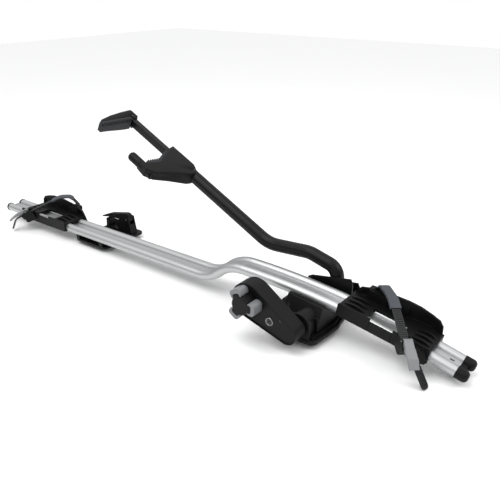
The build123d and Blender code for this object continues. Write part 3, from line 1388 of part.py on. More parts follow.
def buckle_body():
    """The buckle's base and its two cheeks, drawn about the strap's last run."""
    with BuildPart() as body:
        with BuildSketch(buckle_plane(-cheek_outer)):
            with Locations(((buckle_rear + buckle_front) / 2, -strap_thick / 2 - fit_gap - buckle_base / 2)):
                Rectangle(buckle_front - buckle_rear, buckle_base)
        extrude(amount=2 * cheek_outer)
        for side in (-cheek_outer, cheek_inner):
            with BuildSketch(buckle_plane(side)):
                Polygon((buckle_rear, -strap_thick / 2 - fit_gap - buckle_base),
                        (buckle_front, -strap_thick / 2 - fit_gap - buckle_base), (buckle_front, strap_thick),
                        (buckle_pin_p + buckle_ear, buckle_pin_q), (buckle_pin_p - buckle_ear, buckle_pin_q),
                        (buckle_rear, strap_thick), align=None)
                with Locations((buckle_pin_p, buckle_pin_q)):
                    Circle(buckle_ear)
            extrude(amount=buckle_cheek)
        with BuildSketch(buckle_plane(-cheek_outer - cut_over)):
            with Locations((buckle_pin_p, buckle_pin_q)):
                Circle(buckle_pin_radius + fit_gap)
        extrude(amount=2 * (cheek_outer + cut_over), mode=Mode.SUBTRACT)
    return body.part


def buckle_pin():
    """The pin across the buckle's cheeks."""
    with BuildPart() as pin:
        with BuildSketch(buckle_plane(-cheek_outer)):
            with Locations((buckle_pin_p, buckle_pin_q)):
                Circle(buckle_pin_radius)
        extrude(amount=2 * cheek_outer)
    return pin.part


lever_height = 12.0
lever_neck_shares = [(-0.10, 0.35), (0.26, 0.30), (0.26, 0.88), (-0.10, 1.0)]
lever_paddle_shares = [(0.24, 0.30), (0.60, 0.46), (1.0, 0.10), (1.05, 0.38), (0.66, 0.84), (0.24, 0.90)]
lever_round = 0.8


def buckle_lever():
    """The ratchet lever on its pin: a neck between the cheeks and a paddle that bends down to the strap."""
    with BuildPart() as lever:
        with BuildSketch(buckle_plane(-lever_width / 2)):
            Polygon(*scaled(lever_paddle_shares, lever_length, lever_height), align=None)
        extrude(amount=lever_width)
        fillet(lever.edges().filter_by(Axis((0, 0, 0), tuple(strap_side))), lever_round)
        with BuildSketch(buckle_plane(-cheek_inner + run_gap)):
            Polygon(*scaled(lever_neck_shares, lever_length, lever_height), align=None)
            with Locations((buckle_pin_p, buckle_pin_q)):
                Circle(lever_hub)
        extrude(amount=2 * (cheek_inner - run_gap))
        with BuildSketch(buckle_plane(-lever_width)):
            with Locations((buckle_pin_p, buckle_pin_q)):
                Circle(buckle_pin_radius + fit_gap)
        extrude(amount=2 * lever_width, mode=Mode.SUBTRACT)
    return lever.part


def tray_screws():
    """Two screws through the tray's far side towards the rail."""
    with BuildPart() as screws:
        with BuildSketch(side_plane(tray_far + screw_head_depth)):
            with Locations((-tray_screw_x, tray_screw_z), (tray_screw_x, tray_screw_z)):
                Circle(screw_head_radius)
        extrude(amount=screw_head_depth)
        with BuildSketch(side_plane(tray_far)):
            with Locations((-tray_screw_x, tray_screw_z), (tray_screw_x, tray_screw_z)):
                Circle(screw_radius)
        extrude(amount=tray_screw_length)
    return screws.part


front_place = Location(rail_plane(front_tray_x))
rear_place = Pos(rear_tray_x, 0, rail_low)
front_rail_space = arched_rail_space(front_tray_x - 2 * tray_half + tray_wall, rail_front, fit_gap)
rear_rail_space = straight_rail_space(rear_tray_x - 2 * tray_half, rear_tray_x + 2 * tray_half, run_gap)


def front_of(shape):
    """A tray piece set on the rail's front arch."""
    return front_place * shape


def rear_of(shape):
    """A tray piece mirrored and set on the rail's rear run."""
    return rear_place * mirror(shape, about=Plane.YZ, mode=Mode.PRIVATE)


with BuildPart() as front_wheel_tray:
    add(front_of(wheel_tray(strap_points)))
    add(front_rail_space, mode=Mode.SUBTRACT)
front_wheel_tray.part.label = "front_wheel_tray"
export_step(front_wheel_tray.part, "parts/front_wheel_tray.step")

with BuildPart() as front_tray_skirt:
    add(front_of(tray_skirt()))
front_tray_skirt.part.label = "front_tray_skirt"
export_step(front_tray_skirt.part, "parts/front_tray_skirt.step")

with BuildPart() as front_tray_screws:
    add(front_of(tray_screws()))
front_tray_screws.part.label = "front_tray_screws"
export_step(front_tray_screws.part, "parts/front_tray_screws.step")

with BuildPart() as front_strap:
    add(front_of(wheel_strap(strap_points, front_tail_turn, front_tail)))
front_strap.part.label = "front_strap"
export_step(front_strap.part, "parts/front_strap.step")

with BuildPart() as front_strap_sleeve:
    add(front_of(strap_sleeve(strap_points)))
front_strap_sleeve.part.label = "front_strap_sleeve"
export_step(front_strap_sleeve.part, "parts/front_strap_sleeve.step")

with BuildPart() as front_buckle_body:
    add(front_of(buckle_body()))
front_buckle_body.part.label = "front_buckle_body"
export_step(front_buckle_body.part, "parts/front_buckle_body.step")

with BuildPart() as front_buckle_pin:
    add(front_of(buckle_pin()))
front_buckle_pin.part.label = "front_buckle_pin"
export_step(front_buckle_pin.part, "parts/front_buckle_pin.step")

with BuildPart() as front_buckle_lever:
    add(front_of(buckle_lever()))
front_buckle_lever.part.label = "front_buckle_lever"
export_step(front_buckle_lever.part, "parts/front_buckle_lever.step")

with BuildPart() as rear_wheel_tray:
    add(rear_of(wheel_tray(rear_strap_points)))
    add(rear_rail_space, mode=Mode.SUBTRACT)
rear_wheel_tray.part.label = "rear_wheel_tray"
export_step(rear_wheel_tray.part, "parts/rear_wheel_tray.step")

with BuildPart() as rear_tray_skirt:
    add(rear_of(tray_skirt()))
rear_tray_skirt.part.label = "rear_tray_skirt"
export_step(rear_tray_skirt.part, "parts/rear_tray_skirt.step")

with BuildPart() as rear_tray_screws:
    add(rear_of(tray_screws()))
rear_tray_screws.part.label = "rear_tray_screws"
export_step(rear_tray_screws.part, "parts/rear_tray_screws.step")

with BuildPart() as rear_strap:
    add(rear_of(wheel_strap(rear_strap_points, rear_tail_turn, rear_tail)))
rear_strap.part.label = "rear_strap"
export_step(rear_strap.part, "parts/rear_strap.step")

with BuildPart() as rear_strap_sleeve:
    add(rear_of(strap_sleeve(rear_strap_points)))
rear_strap_sleeve.part.label = "rear_strap_sleeve"
export_step(rear_strap_sleeve.part, "parts/rear_strap_sleeve.step")

with BuildPart() as rear_buckle_body:
    add(rear_of(buckle_body()))
rear_buckle_body.part.label = "rear_buckle_body"
export_step(rear_buckle_body.part, "parts/rear_buckle_body.step")

with BuildPart() as rear_buckle_pin:
    add(rear_of(buckle_pin()))
rear_buckle_pin.part.label = "rear_buckle_pin"
export_step(rear_buckle_pin.part, "parts/rear_buckle_pin.step")

with BuildPart() as rear_buckle_lever:
    add(rear_of(buckle_lever()))
rear_buckle_lever.part.label = "rear_buckle_lever"
export_step(rear_buckle_lever.part, "parts/rear_buckle_lever.step")

# Screws that hold the front foot's deck to its frame
with BuildPart() as base_screws:
    with BuildSketch(Plane.XY.offset(deck_top)):
        with Locations(*base_screw_places):
            Circle(base_screw_head)
    extrude(amount=base_screw_radius)
    with BuildSketch(Plane.XY.offset(deck_top)):
        with Locations(*base_screw_places):
            Circle(base_screw_radius)
    extrude(amount=-base_screw_length)
base_screws.part.label = "base_screws"
export_step(base_screws.part, "parts/base_screws.step")
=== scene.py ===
"""Looks for the roof bike carrier: materials, detail pieces, studio and camera, in metres."""
import json
from math import atan2, cos, degrees, pi, radians, sin, sqrt, tan

import bmesh
import bpy
from mathutils import Matrix, Vector


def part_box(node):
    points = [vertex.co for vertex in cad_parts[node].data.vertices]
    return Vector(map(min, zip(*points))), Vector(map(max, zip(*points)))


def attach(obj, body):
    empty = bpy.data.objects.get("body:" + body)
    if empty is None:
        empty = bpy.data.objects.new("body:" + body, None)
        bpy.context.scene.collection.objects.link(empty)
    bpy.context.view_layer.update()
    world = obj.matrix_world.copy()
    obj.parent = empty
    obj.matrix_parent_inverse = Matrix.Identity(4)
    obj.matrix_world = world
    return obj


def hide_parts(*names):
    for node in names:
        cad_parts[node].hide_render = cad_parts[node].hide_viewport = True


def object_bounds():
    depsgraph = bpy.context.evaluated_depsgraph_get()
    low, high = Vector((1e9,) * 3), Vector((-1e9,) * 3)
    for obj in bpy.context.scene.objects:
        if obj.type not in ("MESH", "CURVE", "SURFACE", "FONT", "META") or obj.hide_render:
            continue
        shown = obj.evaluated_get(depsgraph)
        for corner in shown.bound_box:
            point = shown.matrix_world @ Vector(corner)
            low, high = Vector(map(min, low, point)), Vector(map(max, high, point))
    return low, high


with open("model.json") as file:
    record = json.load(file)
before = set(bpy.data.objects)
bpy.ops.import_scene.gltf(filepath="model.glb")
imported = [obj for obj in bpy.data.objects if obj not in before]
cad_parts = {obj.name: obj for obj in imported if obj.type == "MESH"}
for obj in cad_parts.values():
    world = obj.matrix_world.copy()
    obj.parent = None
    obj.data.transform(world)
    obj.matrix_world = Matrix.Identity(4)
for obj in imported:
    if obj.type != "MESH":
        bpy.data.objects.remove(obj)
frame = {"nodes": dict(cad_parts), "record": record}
cad_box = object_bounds()
scene = bpy.context.scene
nodes = frame["nodes"]
mm = 0.001
UP = Vector((0.0, 0.0, 1.0))
TINY = 1e-9


# General helpers
def add_object(name, data):
    """An object of the scene that shows the data."""
    made = bpy.data.objects.new(name, data)
    scene.collection.objects.link(made)
    return made


def facing(direction):
    """The rotation of a camera or light that faces along a direction."""
    return direction.to_track_quat("-Z", "Y").to_euler()


def ease(value):
    """A smooth step from 0 to 1."""
    value = min(max(value, 0.0), 1.0)
    return value * value * (3 - 2 * value)


def colour_sockets(sockets):
    """The sockets that carry a colour, in their order."""
    return [socket for socket in sockets if socket.type == "RGBA"]


# Camera, placed where the photograph's was
CAMERA_PLACE = Vector((0.5733, -0.9952, 0.6892))
CAMERA_AZIMUTH = 36.75
CAMERA_ELEVATION = 24.5
CAMERA_LENS = 43.16
CAMERA_SENSOR = 36.0


def aim(azimuth, elevation):
    """Direction that a camera at this azimuth and elevation looks along."""
    a, e = radians(azimuth), radians(elevation)
    return Vector((-sin(a) * cos(e), cos(a) * cos(e), -sin(e)))


camera_data = bpy.data.cameras.new("camera")
camera_data.lens = CAMERA_LENS
camera_data.sensor_width = CAMERA_SENSOR
camera = add_object("camera", camera_data)
camera.location = CAMERA_PLACE
camera.rotation_euler = facing(aim(CAMERA_AZIMUTH, CAMERA_ELEVATION))
scene.camera = camera

# Materials
EDGE_SAMPLES = 4
ROUGHNESS_DETAIL = 6.0
COLOUR_DETAIL = 5.0
EVEN = (1.0, 1.0, 1.0)
ALONG_RAIL = (0.03, 1.0, 1.0)


class Surface:
    """A principled material whose grain, drift and soft edges come from object coordinates."""

    def __init__(self, name, colour, roughness, metallic=0.0, specular=0.5, edge=0.0):
        self.name = name
        self.colour = colour
        self.roughness = roughness
        self.material = bpy.data.materials.new(name)
        self.material.use_nodes = True
        self.tree = self.material.node_tree
        self.inputs = self.tree.nodes["Principled BSDF"].inputs
        self.inputs["Base Color"].default_value = (*colour, 1.0)
        self.inputs["Roughness"].default_value = roughness
        self.inputs["Metallic"].default_value = metallic
        self.inputs["Specular IOR Level"].default_value = specular
        self.place = self.node("ShaderNodeTexCoord").outputs["Object"]
        self.normal = None
        if edge:
            soften = self.node("ShaderNodeBevel", Radius=edge)
            soften.samples = EDGE_SAMPLES
            self.set_normal(soften)

    def node(self, kind, **values):
        """Adds a node and sets its inputs by name."""
        made = self.tree.nodes.new(kind)
        for name, value in values.items():
            made.inputs[name].default_value = value
        return made

    def link(self, output, target):
        """Joins an output to an input."""
        self.tree.links.new(output, target)

    def set_normal(self, node):
        """Gives the shader this node's normal, which later relief then starts from."""
        self.normal = node.outputs["Normal"]
        self.link(self.normal, self.inputs["Normal"])

    def noise(self, scale, detail, stretch):
        """Noise in object space, its pattern stretched along the axes."""
        mapping = self.node("ShaderNodeMapping", Scale=stretch)
        self.link(self.place, mapping.inputs["Vector"])
        noise = self.node("ShaderNodeTexNoise", Scale=scale, Detail=detail)
        self.link(mapping.outputs["Vector"], noise.inputs["Vector"])
        return noise.outputs["Fac"]

    def vary_roughness(self, scale, amount, stretch=EVEN):
        """Lets the roughness drift about its own value."""
        spread = self.node("ShaderNodeMapRange")
        spread.inputs["To Min"].default_value = self.roughness - amount
        spread.inputs["To Max"].default_value = self.roughness + amount
        self.link(self.noise(scale, ROUGHNESS_DETAIL, stretch), spread.inputs["Value"])
        self.link(spread.outputs["Result"], self.inputs["Roughness"])
        return self

    def vary_colour(self, scale, amount, stretch=EVEN):
        """Lets the colour drift lighter and darker."""
        mix = self.node("ShaderNodeMix")
        mix.data_type = "RGBA"
        for socket, factor in zip(colour_sockets(mix.inputs), (1 - amount, 1 + amount)):
            socket.default_value = (*[min(1.0, c * factor) for c in self.colour], 1.0)
        self.link(self.noise(scale, COLOUR_DETAIL, stretch), mix.inputs[0])
        self.link(colour_sockets(mix.outputs)[0], self.inputs["Base Color"])
        return self

    def bump(self, scale, height, strength, detail=3.0, stretch=EVEN):
        """Adds a layer of fine relief, its height in metres."""
        relief = self.node("ShaderNodeBump", Strength=strength, Distance=height)
        self.link(self.noise(scale, detail, stretch), relief.inputs["Height"])
        if self.normal:
            self.link(self.normal, relief.inputs["Normal"])
        self.set_normal(relief)
        return self


surfaces = {surface.name: surface for surface in (
    Surface("rail_aluminium", (0.50, 0.504, 0.508), roughness=0.43, metallic=1.0)
    .vary_roughness(scale=90, amount=0.03, stretch=ALONG_RAIL)
    .vary_colour(scale=40, amount=0.02, stretch=ALONG_RAIL)
    .bump(scale=900, height=0.000006, strength=0.4, detail=2.0, stretch=ALONG_RAIL),

    Surface("black_plastic", (0.0040, 0.0040, 0.0045), roughness=0.46, specular=0.16, edge=0.0009)
    .vary_roughness(scale=40, amount=0.05)
    .vary_colour(scale=25, amount=0.2)
    .bump(scale=1400, height=0.00006, strength=0.5),

    Surface("arm_paint", (0.0035, 0.0035, 0.004), roughness=0.36, specular=0.20, edge=0.0012)
    .vary_roughness(scale=30, amount=0.04)
    .vary_colour(scale=18, amount=0.15)
    .bump(scale=2200, height=0.00003, strength=0.5),

    Surface("soft_rubber", (0.019, 0.020, 0.023), roughness=0.60, specular=0.3)
    .vary_colour(scale=60, amount=0.25)
    .bump(scale=900, height=0.0001, strength=0.6),

    Surface("sleeve_rubber", (0.050, 0.056, 0.066), roughness=0.55, specular=0.35)
    .vary_colour(scale=50, amount=0.2)
    .bump(scale=900, height=0.00008, strength=0.5),

    Surface("strap_plastic", (0.006, 0.0065, 0.0075), roughness=0.45, specular=0.32)
    .vary_colour(scale=40, amount=0.2)
    .bump(scale=1100, height=0.00005, strength=0.5),

    Surface("grey_plastic", (0.17, 0.176, 0.184), roughness=0.40, edge=0.0008)
    .vary_roughness(scale=60, amount=0.04)
    .vary_colour(scale=30, amount=0.06)
    .bump(scale=1300, height=0.00004, strength=0.4),

    Surface("bush_nylon", (0.30, 0.30, 0.29), roughness=0.5)
    .vary_colour(scale=60, amount=0.05)
    .bump(scale=900, height=0.00003, strength=0.3),

    Surface("axle_steel", (0.30, 0.30, 0.31), roughness=0.38, metallic=1.0)
    .vary_roughness(scale=120, amount=0.06)
    .bump(scale=1600, height=0.00002, strength=0.4),

    Surface("screw_steel", (0.07, 0.07, 0.073), roughness=0.40, metallic=1.0)
    .vary_roughness(scale=200, amount=0.06)
    .bump(scale=1600, height=0.00002, strength=0.4),

    Surface("cable_steel", (0.30, 0.30, 0.31), roughness=0.45, metallic=1.0)
    .bump(scale=1600, height=0.00005, strength=0.6),

    Surface("bright_metal", (0.20, 0.20, 0.205), roughness=0.24, metallic=1.0)
    .vary_roughness(scale=300, amount=0.05),

    Surface("lock_face", (0.030, 0.030, 0.032), roughness=0.30, metallic=0.6)
    .vary_roughness(scale=300, amount=0.05),
)}

record = frame["record"]
slot_of = {part["node"]: part["material_slot"] for part in record["subparts"]}
body_of = {name: body for body, names in record["behaviour"]["bodies"].items() for name in names}
for name, node in nodes.items():
    for material_slot in node.material_slots:
        material_slot.link = "OBJECT"
        material_slot.material = surfaces[slot_of[name]].material
nodes["lock_cylinder"].material_slots[0].material = surfaces["lock_face"].material

# Mesh helpers. Angles are in degrees, and the weld distance is in metres
SHARP_ANGLE = 30.0
ARC_STEP = 3.0
ARC_LEAST_STEPS = 2
CORNER_STEPS = 4
WELD = 1e-6


def finish_piece(name, mesh_data, node_name, sharp_angle=SHARP_ANGLE):
    """A piece of bmesh data that stands for a CAD node, with its body, slot and finish."""
    bmesh.ops.recalc_face_normals(mesh_data, faces=mesh_data.faces)
    mesh = bpy.data.meshes.new(name)
    mesh_data.to_mesh(mesh)
    mesh_data.free()
    mesh.shade_smooth()
    mesh.set_sharp_from_angle(angle=radians(sharp_angle))
    mesh.materials.append(surfaces[slot_of[node_name]].material)
    piece = add_object(name, mesh)
    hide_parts(node_name)
    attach(piece, body_of[node_name])
    return piece


def node_mesh(node_name):
    """A welded copy of a CAD node's mesh."""
    mesh_data = bmesh.new()
    mesh_data.from_mesh(nodes[node_name].data)
    bmesh.ops.remove_doubles(mesh_data, verts=mesh_data.verts, dist=WELD)
    return mesh_data


def bridge(mesh_data, row, following, closed):
    """Joins two rows of vertices with faces, all the way round if the rows are closed."""
    for i in range(len(row) if closed else len(row) - 1):
        j = (i + 1) % len(row)
        mesh_data.faces.new((row[i], row[j], following[j], following[i]))


def add_skin(mesh_data, rings):
    """Adds a tube over rings of points, and gives its rows of vertices."""
    rows = [[mesh_data.verts.new(point) for point in ring] for ring in rings]
    for row, following in zip(rows, rows[1:]):
        bridge(mesh_data, row, following, closed=True)
    return rows


def rounded_path(points, radii):
    """Points along a run of straight lines whose corners are rounded to the radii."""
    path = [points[0]]
    for before, corner, after, radius in zip(points, points[1:], points[2:], radii):
        arrive, leave = (corner - before).normalized(), (after - corner).normalized()
        turn = arrive.angle(leave)
        steps = max(ARC_LEAST_STEPS, int(degrees(turn) / ARC_STEP))
        inward = (leave - arrive).normalized()
        centre = corner + inward * (radius / cos(turn / 2))
        first = corner - arrive * (radius * tan(turn / 2)) - centre
        axis = arrive.cross(leave).normalized()
        path += [centre + Matrix.Rotation(turn * step / steps, 3, axis) @ first
                 for step in range(steps + 1)]
    return path + [points[-1]]


def rounded_rectangle(half, top, corner):
    """Points round a rectangle with rounded corners."""
    x, y = half - corner, top - corner
    points = []
    for quarter, (centre_x, centre_y) in enumerate(((x, y), (-x, y), (-x, -y), (x, -y))):
        for step in range(CORNER_STEPS + 1):
            angle = pi / 2 * (quarter + step / CORNER_STEPS)
            points.append((centre_x + corner * cos(angle), centre_y + corner * sin(angle)))
    return points


# Paths of the wheel straps, millimetres
LOOK_AHEAD = 1.0
TWIST_SPAN = 14.0
NEAREST_STEPS = 1500


class Run:
    """A path read by the length along it. The band on it twists from one side to the other."""

    def __init__(self, path, side, tail_side, twist_point):
        self.path = path
        self.marks = [0.0]
        for a, b in zip(path, path[1:]):
            self.marks.append(self.marks[-1] + (b - a).length)
        self.length = self.marks[-1]
        self.side, self.tail_side = side, tail_side
        self.twist_mark = self.nearest(twist_point)

    def point(self, mark):
        """The point at a length along the path."""
        mark = min(max(mark, 0.0), self.length)
        i = next(i for i, end in enumerate(self.marks[1:]) if mark <= end + TINY)
        span = max(self.marks[i + 1] - self.marks[i], TINY)
        return self.path[i].lerp(self.path[i + 1], (mark - self.marks[i]) / span)

    def frame(self, mark):
        """Point, side and outward direction at a length along the path."""
        along = (self.point(mark + LOOK_AHEAD) - self.point(mark - LOOK_AHEAD)).normalized()
        twist = ease((mark - self.twist_mark) / TWIST_SPAN + 0.5)
        side = self.side.lerp(self.tail_side, twist)
        side = (side - along * side.dot(along)).normalized()
        return self.point(mark), side, side.cross(along)

    def nearest(self, target):
        """The length along the path that is nearest to a point."""
        marks = [self.length * i / NEAREST_STEPS for i in range(NEAREST_STEPS + 1)]
        return min(marks, key=lambda mark: (self.point(mark) - target).length)


# Wheel straps: ladder bands from the trays' far walls, over the wheel's place and through the
# buckles. Their routes are (s, h) points in the tray's frame: s along the heading, h upwards
STRAP_ROOT = Vector((-46.0, 39.0, 0.0))
STRAP_TURN = -41.0
STRAP_EXIT = (139.0, 16.0)
STRAP_RADII = (16.0, 45.0)
EXIT_RADIUS = 3.0
TAIL_REACH = 17.0
TAIL_RADIUS = 12.0
FRONT_ARCH = ((-15.0, 38.0), (5.0, 59.5), (47.0, 59.5))
FRONT_TAIL_TURN = 27.0
FRONT_TAIL = ((24.0, -4.5), (56.0, -36.0))
REAR_ARCH = ((-20.0, 38.0), (2.0, 66.1), (33.0, 66.1))
REAR_TAIL_TURN = 0.0
REAR_TAIL = ((18.0, -2.5), (30.0, -32.0))

STRAP_THICK = 2.6
STRAP_HALF = 9.5
STRAP_EDGE = 0.45
STRAP_REST = 0.3
TAIL_ROUND = 7.0
TAIL_REST = 0.2
TAIL_TIP_SHARE = 0.08
LADDER_PITCH = 4.6
LADDER_DEPTH = 0.9
LADDER_SLOPE = 0.4
LADDER_RAIL = 2.4
LADDER_RAIL_SHARE = 1 / 3
LADDER_GROOVE_SHARE = 0.45
LADDER_RUNG = LADDER_PITCH * (1 - LADDER_GROOVE_SHARE)
LADDER_STEPS = ((0.0, 0.0), (LADDER_RUNG, 0.0), (LADDER_RUNG + LADDER_SLOPE, LADDER_DEPTH),
                (LADDER_PITCH - LADDER_SLOPE, LADDER_DEPTH))


def level_heading(turn):
    """The level direction at a turn from the x axis, in degrees."""
    return Vector((cos(radians(turn)), sin(radians(turn)), 0.0))


def right_of(direction):
    """The level direction to the right of another."""
    return Vector((direction.y, -direction.x, 0.0))


strap_heading = level_heading(STRAP_TURN)


def strap_point(s, h):
    """A point of the strap's slanting plane, in the tray's frame."""
    return STRAP_ROOT + strap_heading * s + UP * h


def share_point(start, end, share):
    """The point at a share of the way between two (s, h) points, in the tray's frame."""
    return strap_point(*[a + (b - a) * share for a, b in zip(start, end)])


def strap_run(arch, tail_turn, tail):
    """The strap's whole path in the tray's frame: the arch, the buckle's exit and the tail."""
    (last_s, last_h), (exit_s, exit_h) = arch[-1], STRAP_EXIT
    fall = atan2(last_h - exit_h, exit_s - last_s)
    twist_place = (exit_s + TAIL_REACH * cos(fall), exit_h - TAIL_REACH * sin(fall))
    body = [strap_point(s, h) for s, h in (*arch, twist_place)]
    tail_heading = level_heading(STRAP_TURN + tail_turn)
    foot = Vector((body[-1].x, body[-1].y, 0.0))
    end = [foot + tail_heading * s + UP * h for s, h in tail]
    path = rounded_path(body + end, (*STRAP_RADII, EXIT_RADIUS, TAIL_RADIUS))
    return Run(path, right_of(strap_heading), right_of(tail_heading), body[-1])


def ladder_ring(run, mark, half, groove):
    """The strap's outline at a length along it. The groove lowers its face between two rungs."""
    point, side, out = run.frame(mark)
    top, edge = STRAP_THICK / 2, STRAP_EDGE
    inner = half - min(LADDER_RAIL, half * LADDER_RAIL_SHARE)
    right = [(half - edge, -top), (half, -top + edge), (half, top - edge), (half - edge, top),
             (inner, top), (inner - edge, top - groove)]
    outline = right + [(-across, up) for across, up in reversed(right)]
    return [point + side * across + out * up for across, up in outline]


def ladder_strap(name, node_name, run, place):
    """A ladder strap: rungs between two edge rails, its tail rounded at the tip."""
    rings = []
    start = 0.0
    while start < run.length - STRAP_REST:
        for offset, groove in LADDER_STEPS:
            mark = start + offset
            left = run.length - mark
            if left < TAIL_REST:
                continue
            half = STRAP_HALF
            if left < TAIL_ROUND:
                half *= sqrt(max(TAIL_TIP_SHARE, 1 - (1 - left / TAIL_ROUND) ** 2))
                groove = 0.0
            rings.append([place(point) for point in ladder_ring(run, mark, half, groove)])
        start += LADDER_PITCH
    mesh_data = bmesh.new()
    rows = add_skin(mesh_data, rings)
    for row in (rows[0], rows[-1]):
        mesh_data.faces.new(row)
    return finish_piece(name, mesh_data, node_name)


# Sleeves on the straps' arches, millimetres. The wall shares are (share of the length, scale)
SLEEVE_WALL_SHARES = ((0.0, 0.80), (0.03, 0.92), (0.06, 0.86), (0.5, 0.86), (0.86, 0.92),
                      (0.94, 1.0), (0.98, 1.0), (1.0, 0.92))
SLEEVE_START_HALF = 10.6
SLEEVE_END_HALF = 12.0
SLEEVE_WIDTH_SHARE = 0.9
SLEEVE_TOP = 3.3
SLEEVE_CORNER = 1.6
SLEEVE_HOLE = rounded_rectangle(half=9.7, top=1.5, corner=0.6)
SLEEVE_STEPS = 44
SLEEVE_SHARP_ANGLE = 40.0
SLEEVE_START_SHARE = 0.73
SLEEVE_END_SHARE = 0.23


def sleeve_scale(share):
    """The sleeve's outer size at a share of its length, as a share of its largest."""
    pairs = zip(SLEEVE_WALL_SHARES, SLEEVE_WALL_SHARES[1:])
    (low, first), (high, last) = next(pair for pair in pairs if share <= pair[1][0] + TINY)
    return first + (last - first) * (share - low) / (high - low)


def sleeve(name, node_name, run, start, end, place):
    """The soft sleeve on a strap: a hollow, slightly flared tube with a lip at each end."""
    outer, inner = [], []
    for step in range(SLEEVE_STEPS + 1):
        share = step / SLEEVE_STEPS
        scale = sleeve_scale(share)
        half = SLEEVE_START_HALF + (SLEEVE_END_HALF - SLEEVE_START_HALF) * share
        half *= SLEEVE_WIDTH_SHARE + (1 - SLEEVE_WIDTH_SHARE) * scale
        skin = rounded_rectangle(half, SLEEVE_TOP * scale, SLEEVE_CORNER * scale)
        point, side, out = run.frame(start + (end - start) * share)
        for rings, outline in ((outer, skin), (inner, SLEEVE_HOLE)):
            rings.append([place(point + side * across + out * up) for across, up in outline])
    mesh_data = bmesh.new()
    outer_rows, inner_rows = add_skin(mesh_data, outer), add_skin(mesh_data, inner)
    for end_row in (0, -1):
        bridge(mesh_data, outer_rows[end_row], inner_rows[end_row], closed=True)
    return finish_piece(name, mesh_data, node_name, SLEEVE_SHARP_ANGLE)


# The trays' places on the rail, millimetres, and the front arch's tilt, radians
FRONT_TRAY = Vector((177.0, 0.0, 49.900233))
FRONT_TILT = 0.176095725
REAR_TRAY = Vector((-907.0, 0.0, 29.7))
front_turn = Matrix.Rotation(FRONT_TILT, 3, "Y")


def front_place(point):
    """A point of the tray's frame set on the rail's front arch, in metres."""
    return (FRONT_TRAY + front_turn @ point) * mm


def rear_place(point):
    """A point of the tray's frame mirrored and set on the rail's rear run, in metres."""
    return Vector((REAR_TRAY.x - point.x, point.y, REAR_TRAY.z + point.z)) * mm


for end_name, arch, tail_turn, tail, place in (
        ("front", FRONT_ARCH, FRONT_TAIL_TURN, FRONT_TAIL, front_place),
        ("rear", REAR_ARCH, REAR_TAIL_TURN, REAR_TAIL, rear_place)):
    run = strap_run(arch, tail_turn, tail)
    sleeve_start = run.nearest(share_point(arch[0], arch[1], SLEEVE_START_SHARE))
    sleeve_end = run.nearest(share_point(arch[-1], STRAP_EXIT, SLEEVE_END_SHARE))
    ladder_strap(f"{end_name}_ladder_strap", f"{end_name}_strap", run, place)
    sleeve(f"{end_name}_sleeve_cover", f"{end_name}_strap_sleeve",
           run, sleeve_start, sleeve_end, place)

# Jaws, millimetres, in the arm's frame: u along the arm, v from it towards the near side, n square
# to both
ARM_RISE = radians(27.8)
ARM_PIVOT = Vector((20.0, 64.0, 37.0))
arm_along = Vector((-cos(ARM_RISE), 0.0, sin(ARM_RISE)))
arm_near = Vector((0.0, -1.0, 0.0))
arm_square = Vector((sin(ARM_RISE), 0.0, cos(ARM_RISE)))

# Both jaws taper towards their near ends: each height is drawn towards a level that stays
LOWER_LEVEL = -12.0
LOWER_TAPER_START = 20.0
LOWER_TAPER_SPAN = 85.0
LOWER_TAPER_SHARE = 0.30
LOWER_END = 106.0
LOWER_END_SHARE = 0.5
UPPER_LEVEL = 3.0
UPPER_TAPER_START = 15.0
UPPER_TAPER_SPAN = 90.0
UPPER_TAPER_SHARE = 0.24

# Jaw pads: (u, v) points along the gripping face and along the back, and shares of their length
PAD_ROUND = 2.2
PAD_CROWN_SHARE = 0.8
PAD_LEAST = 0.8
PAD_ROWS = 12
PAD_SHARP_ANGLE = 35.0
PAD_TOP = 2.8
UPPER_PAD_FACE = ((684.0, 3.0), (688.0, 106.0))
UPPER_PAD_BACK = ((693.6, 3.0), (699.6, 106.0))
UPPER_PAD_SHARES = (0.06, 0.995)
UPPER_PAD_LOW = -29.0
LOWER_PAD_FACE = ((558.0, 4.0), (537.0, 53.0), (547.5, 101.0))
LOWER_PAD_BACK = ((553.0, 6.0), (524.0, 58.0), (539.6, 103.0))
LOWER_PAD_SHARES = (0.06, 0.86)
LOWER_PAD_LOW = -26.8

# Their teeth: a band along the pad's upper edge. The shares are of one tooth's pitch
TOOTH_PITCH = 6.5
TOOTH_DEPTH = 6.5
TOOTH_CREST = 0.6
TOOTH_BAND = 7.0
TOOTH_STEP = 0.3
TOOTH_LEAST_COUNT = 3
TOOTH_CREST_SHARE = 0.38
TOOTH_GAP_SHARES = (0.50, 0.88)


def arm_place(u, v, n):
    """A point of the arm's frame, in metres."""
    return (ARM_PIVOT + arm_along * u + arm_near * v + arm_square * n) * mm


def lower_bend(v, n):
    """The lower jaw's height, which tapers towards its hook finger."""
    taper = LOWER_TAPER_SHARE * ease((v - LOWER_TAPER_START) / LOWER_TAPER_SPAN)
    return LOWER_LEVEL + (n - LOWER_LEVEL) * (1 - taper)


def upper_bend(v, n):
    """The upper jaw's height, which tapers from below towards its near end."""
    taper = UPPER_TAPER_SHARE * ease((v - UPPER_TAPER_START) / UPPER_TAPER_SPAN)
    return UPPER_LEVEL + (n - UPPER_LEVEL) * (1 - taper)


def lower_end(v):
    """The lower jaw's near end, drawn in round its hook finger."""
    return v if v < LOWER_END else LOWER_END + (v - LOWER_END) * LOWER_END_SHARE


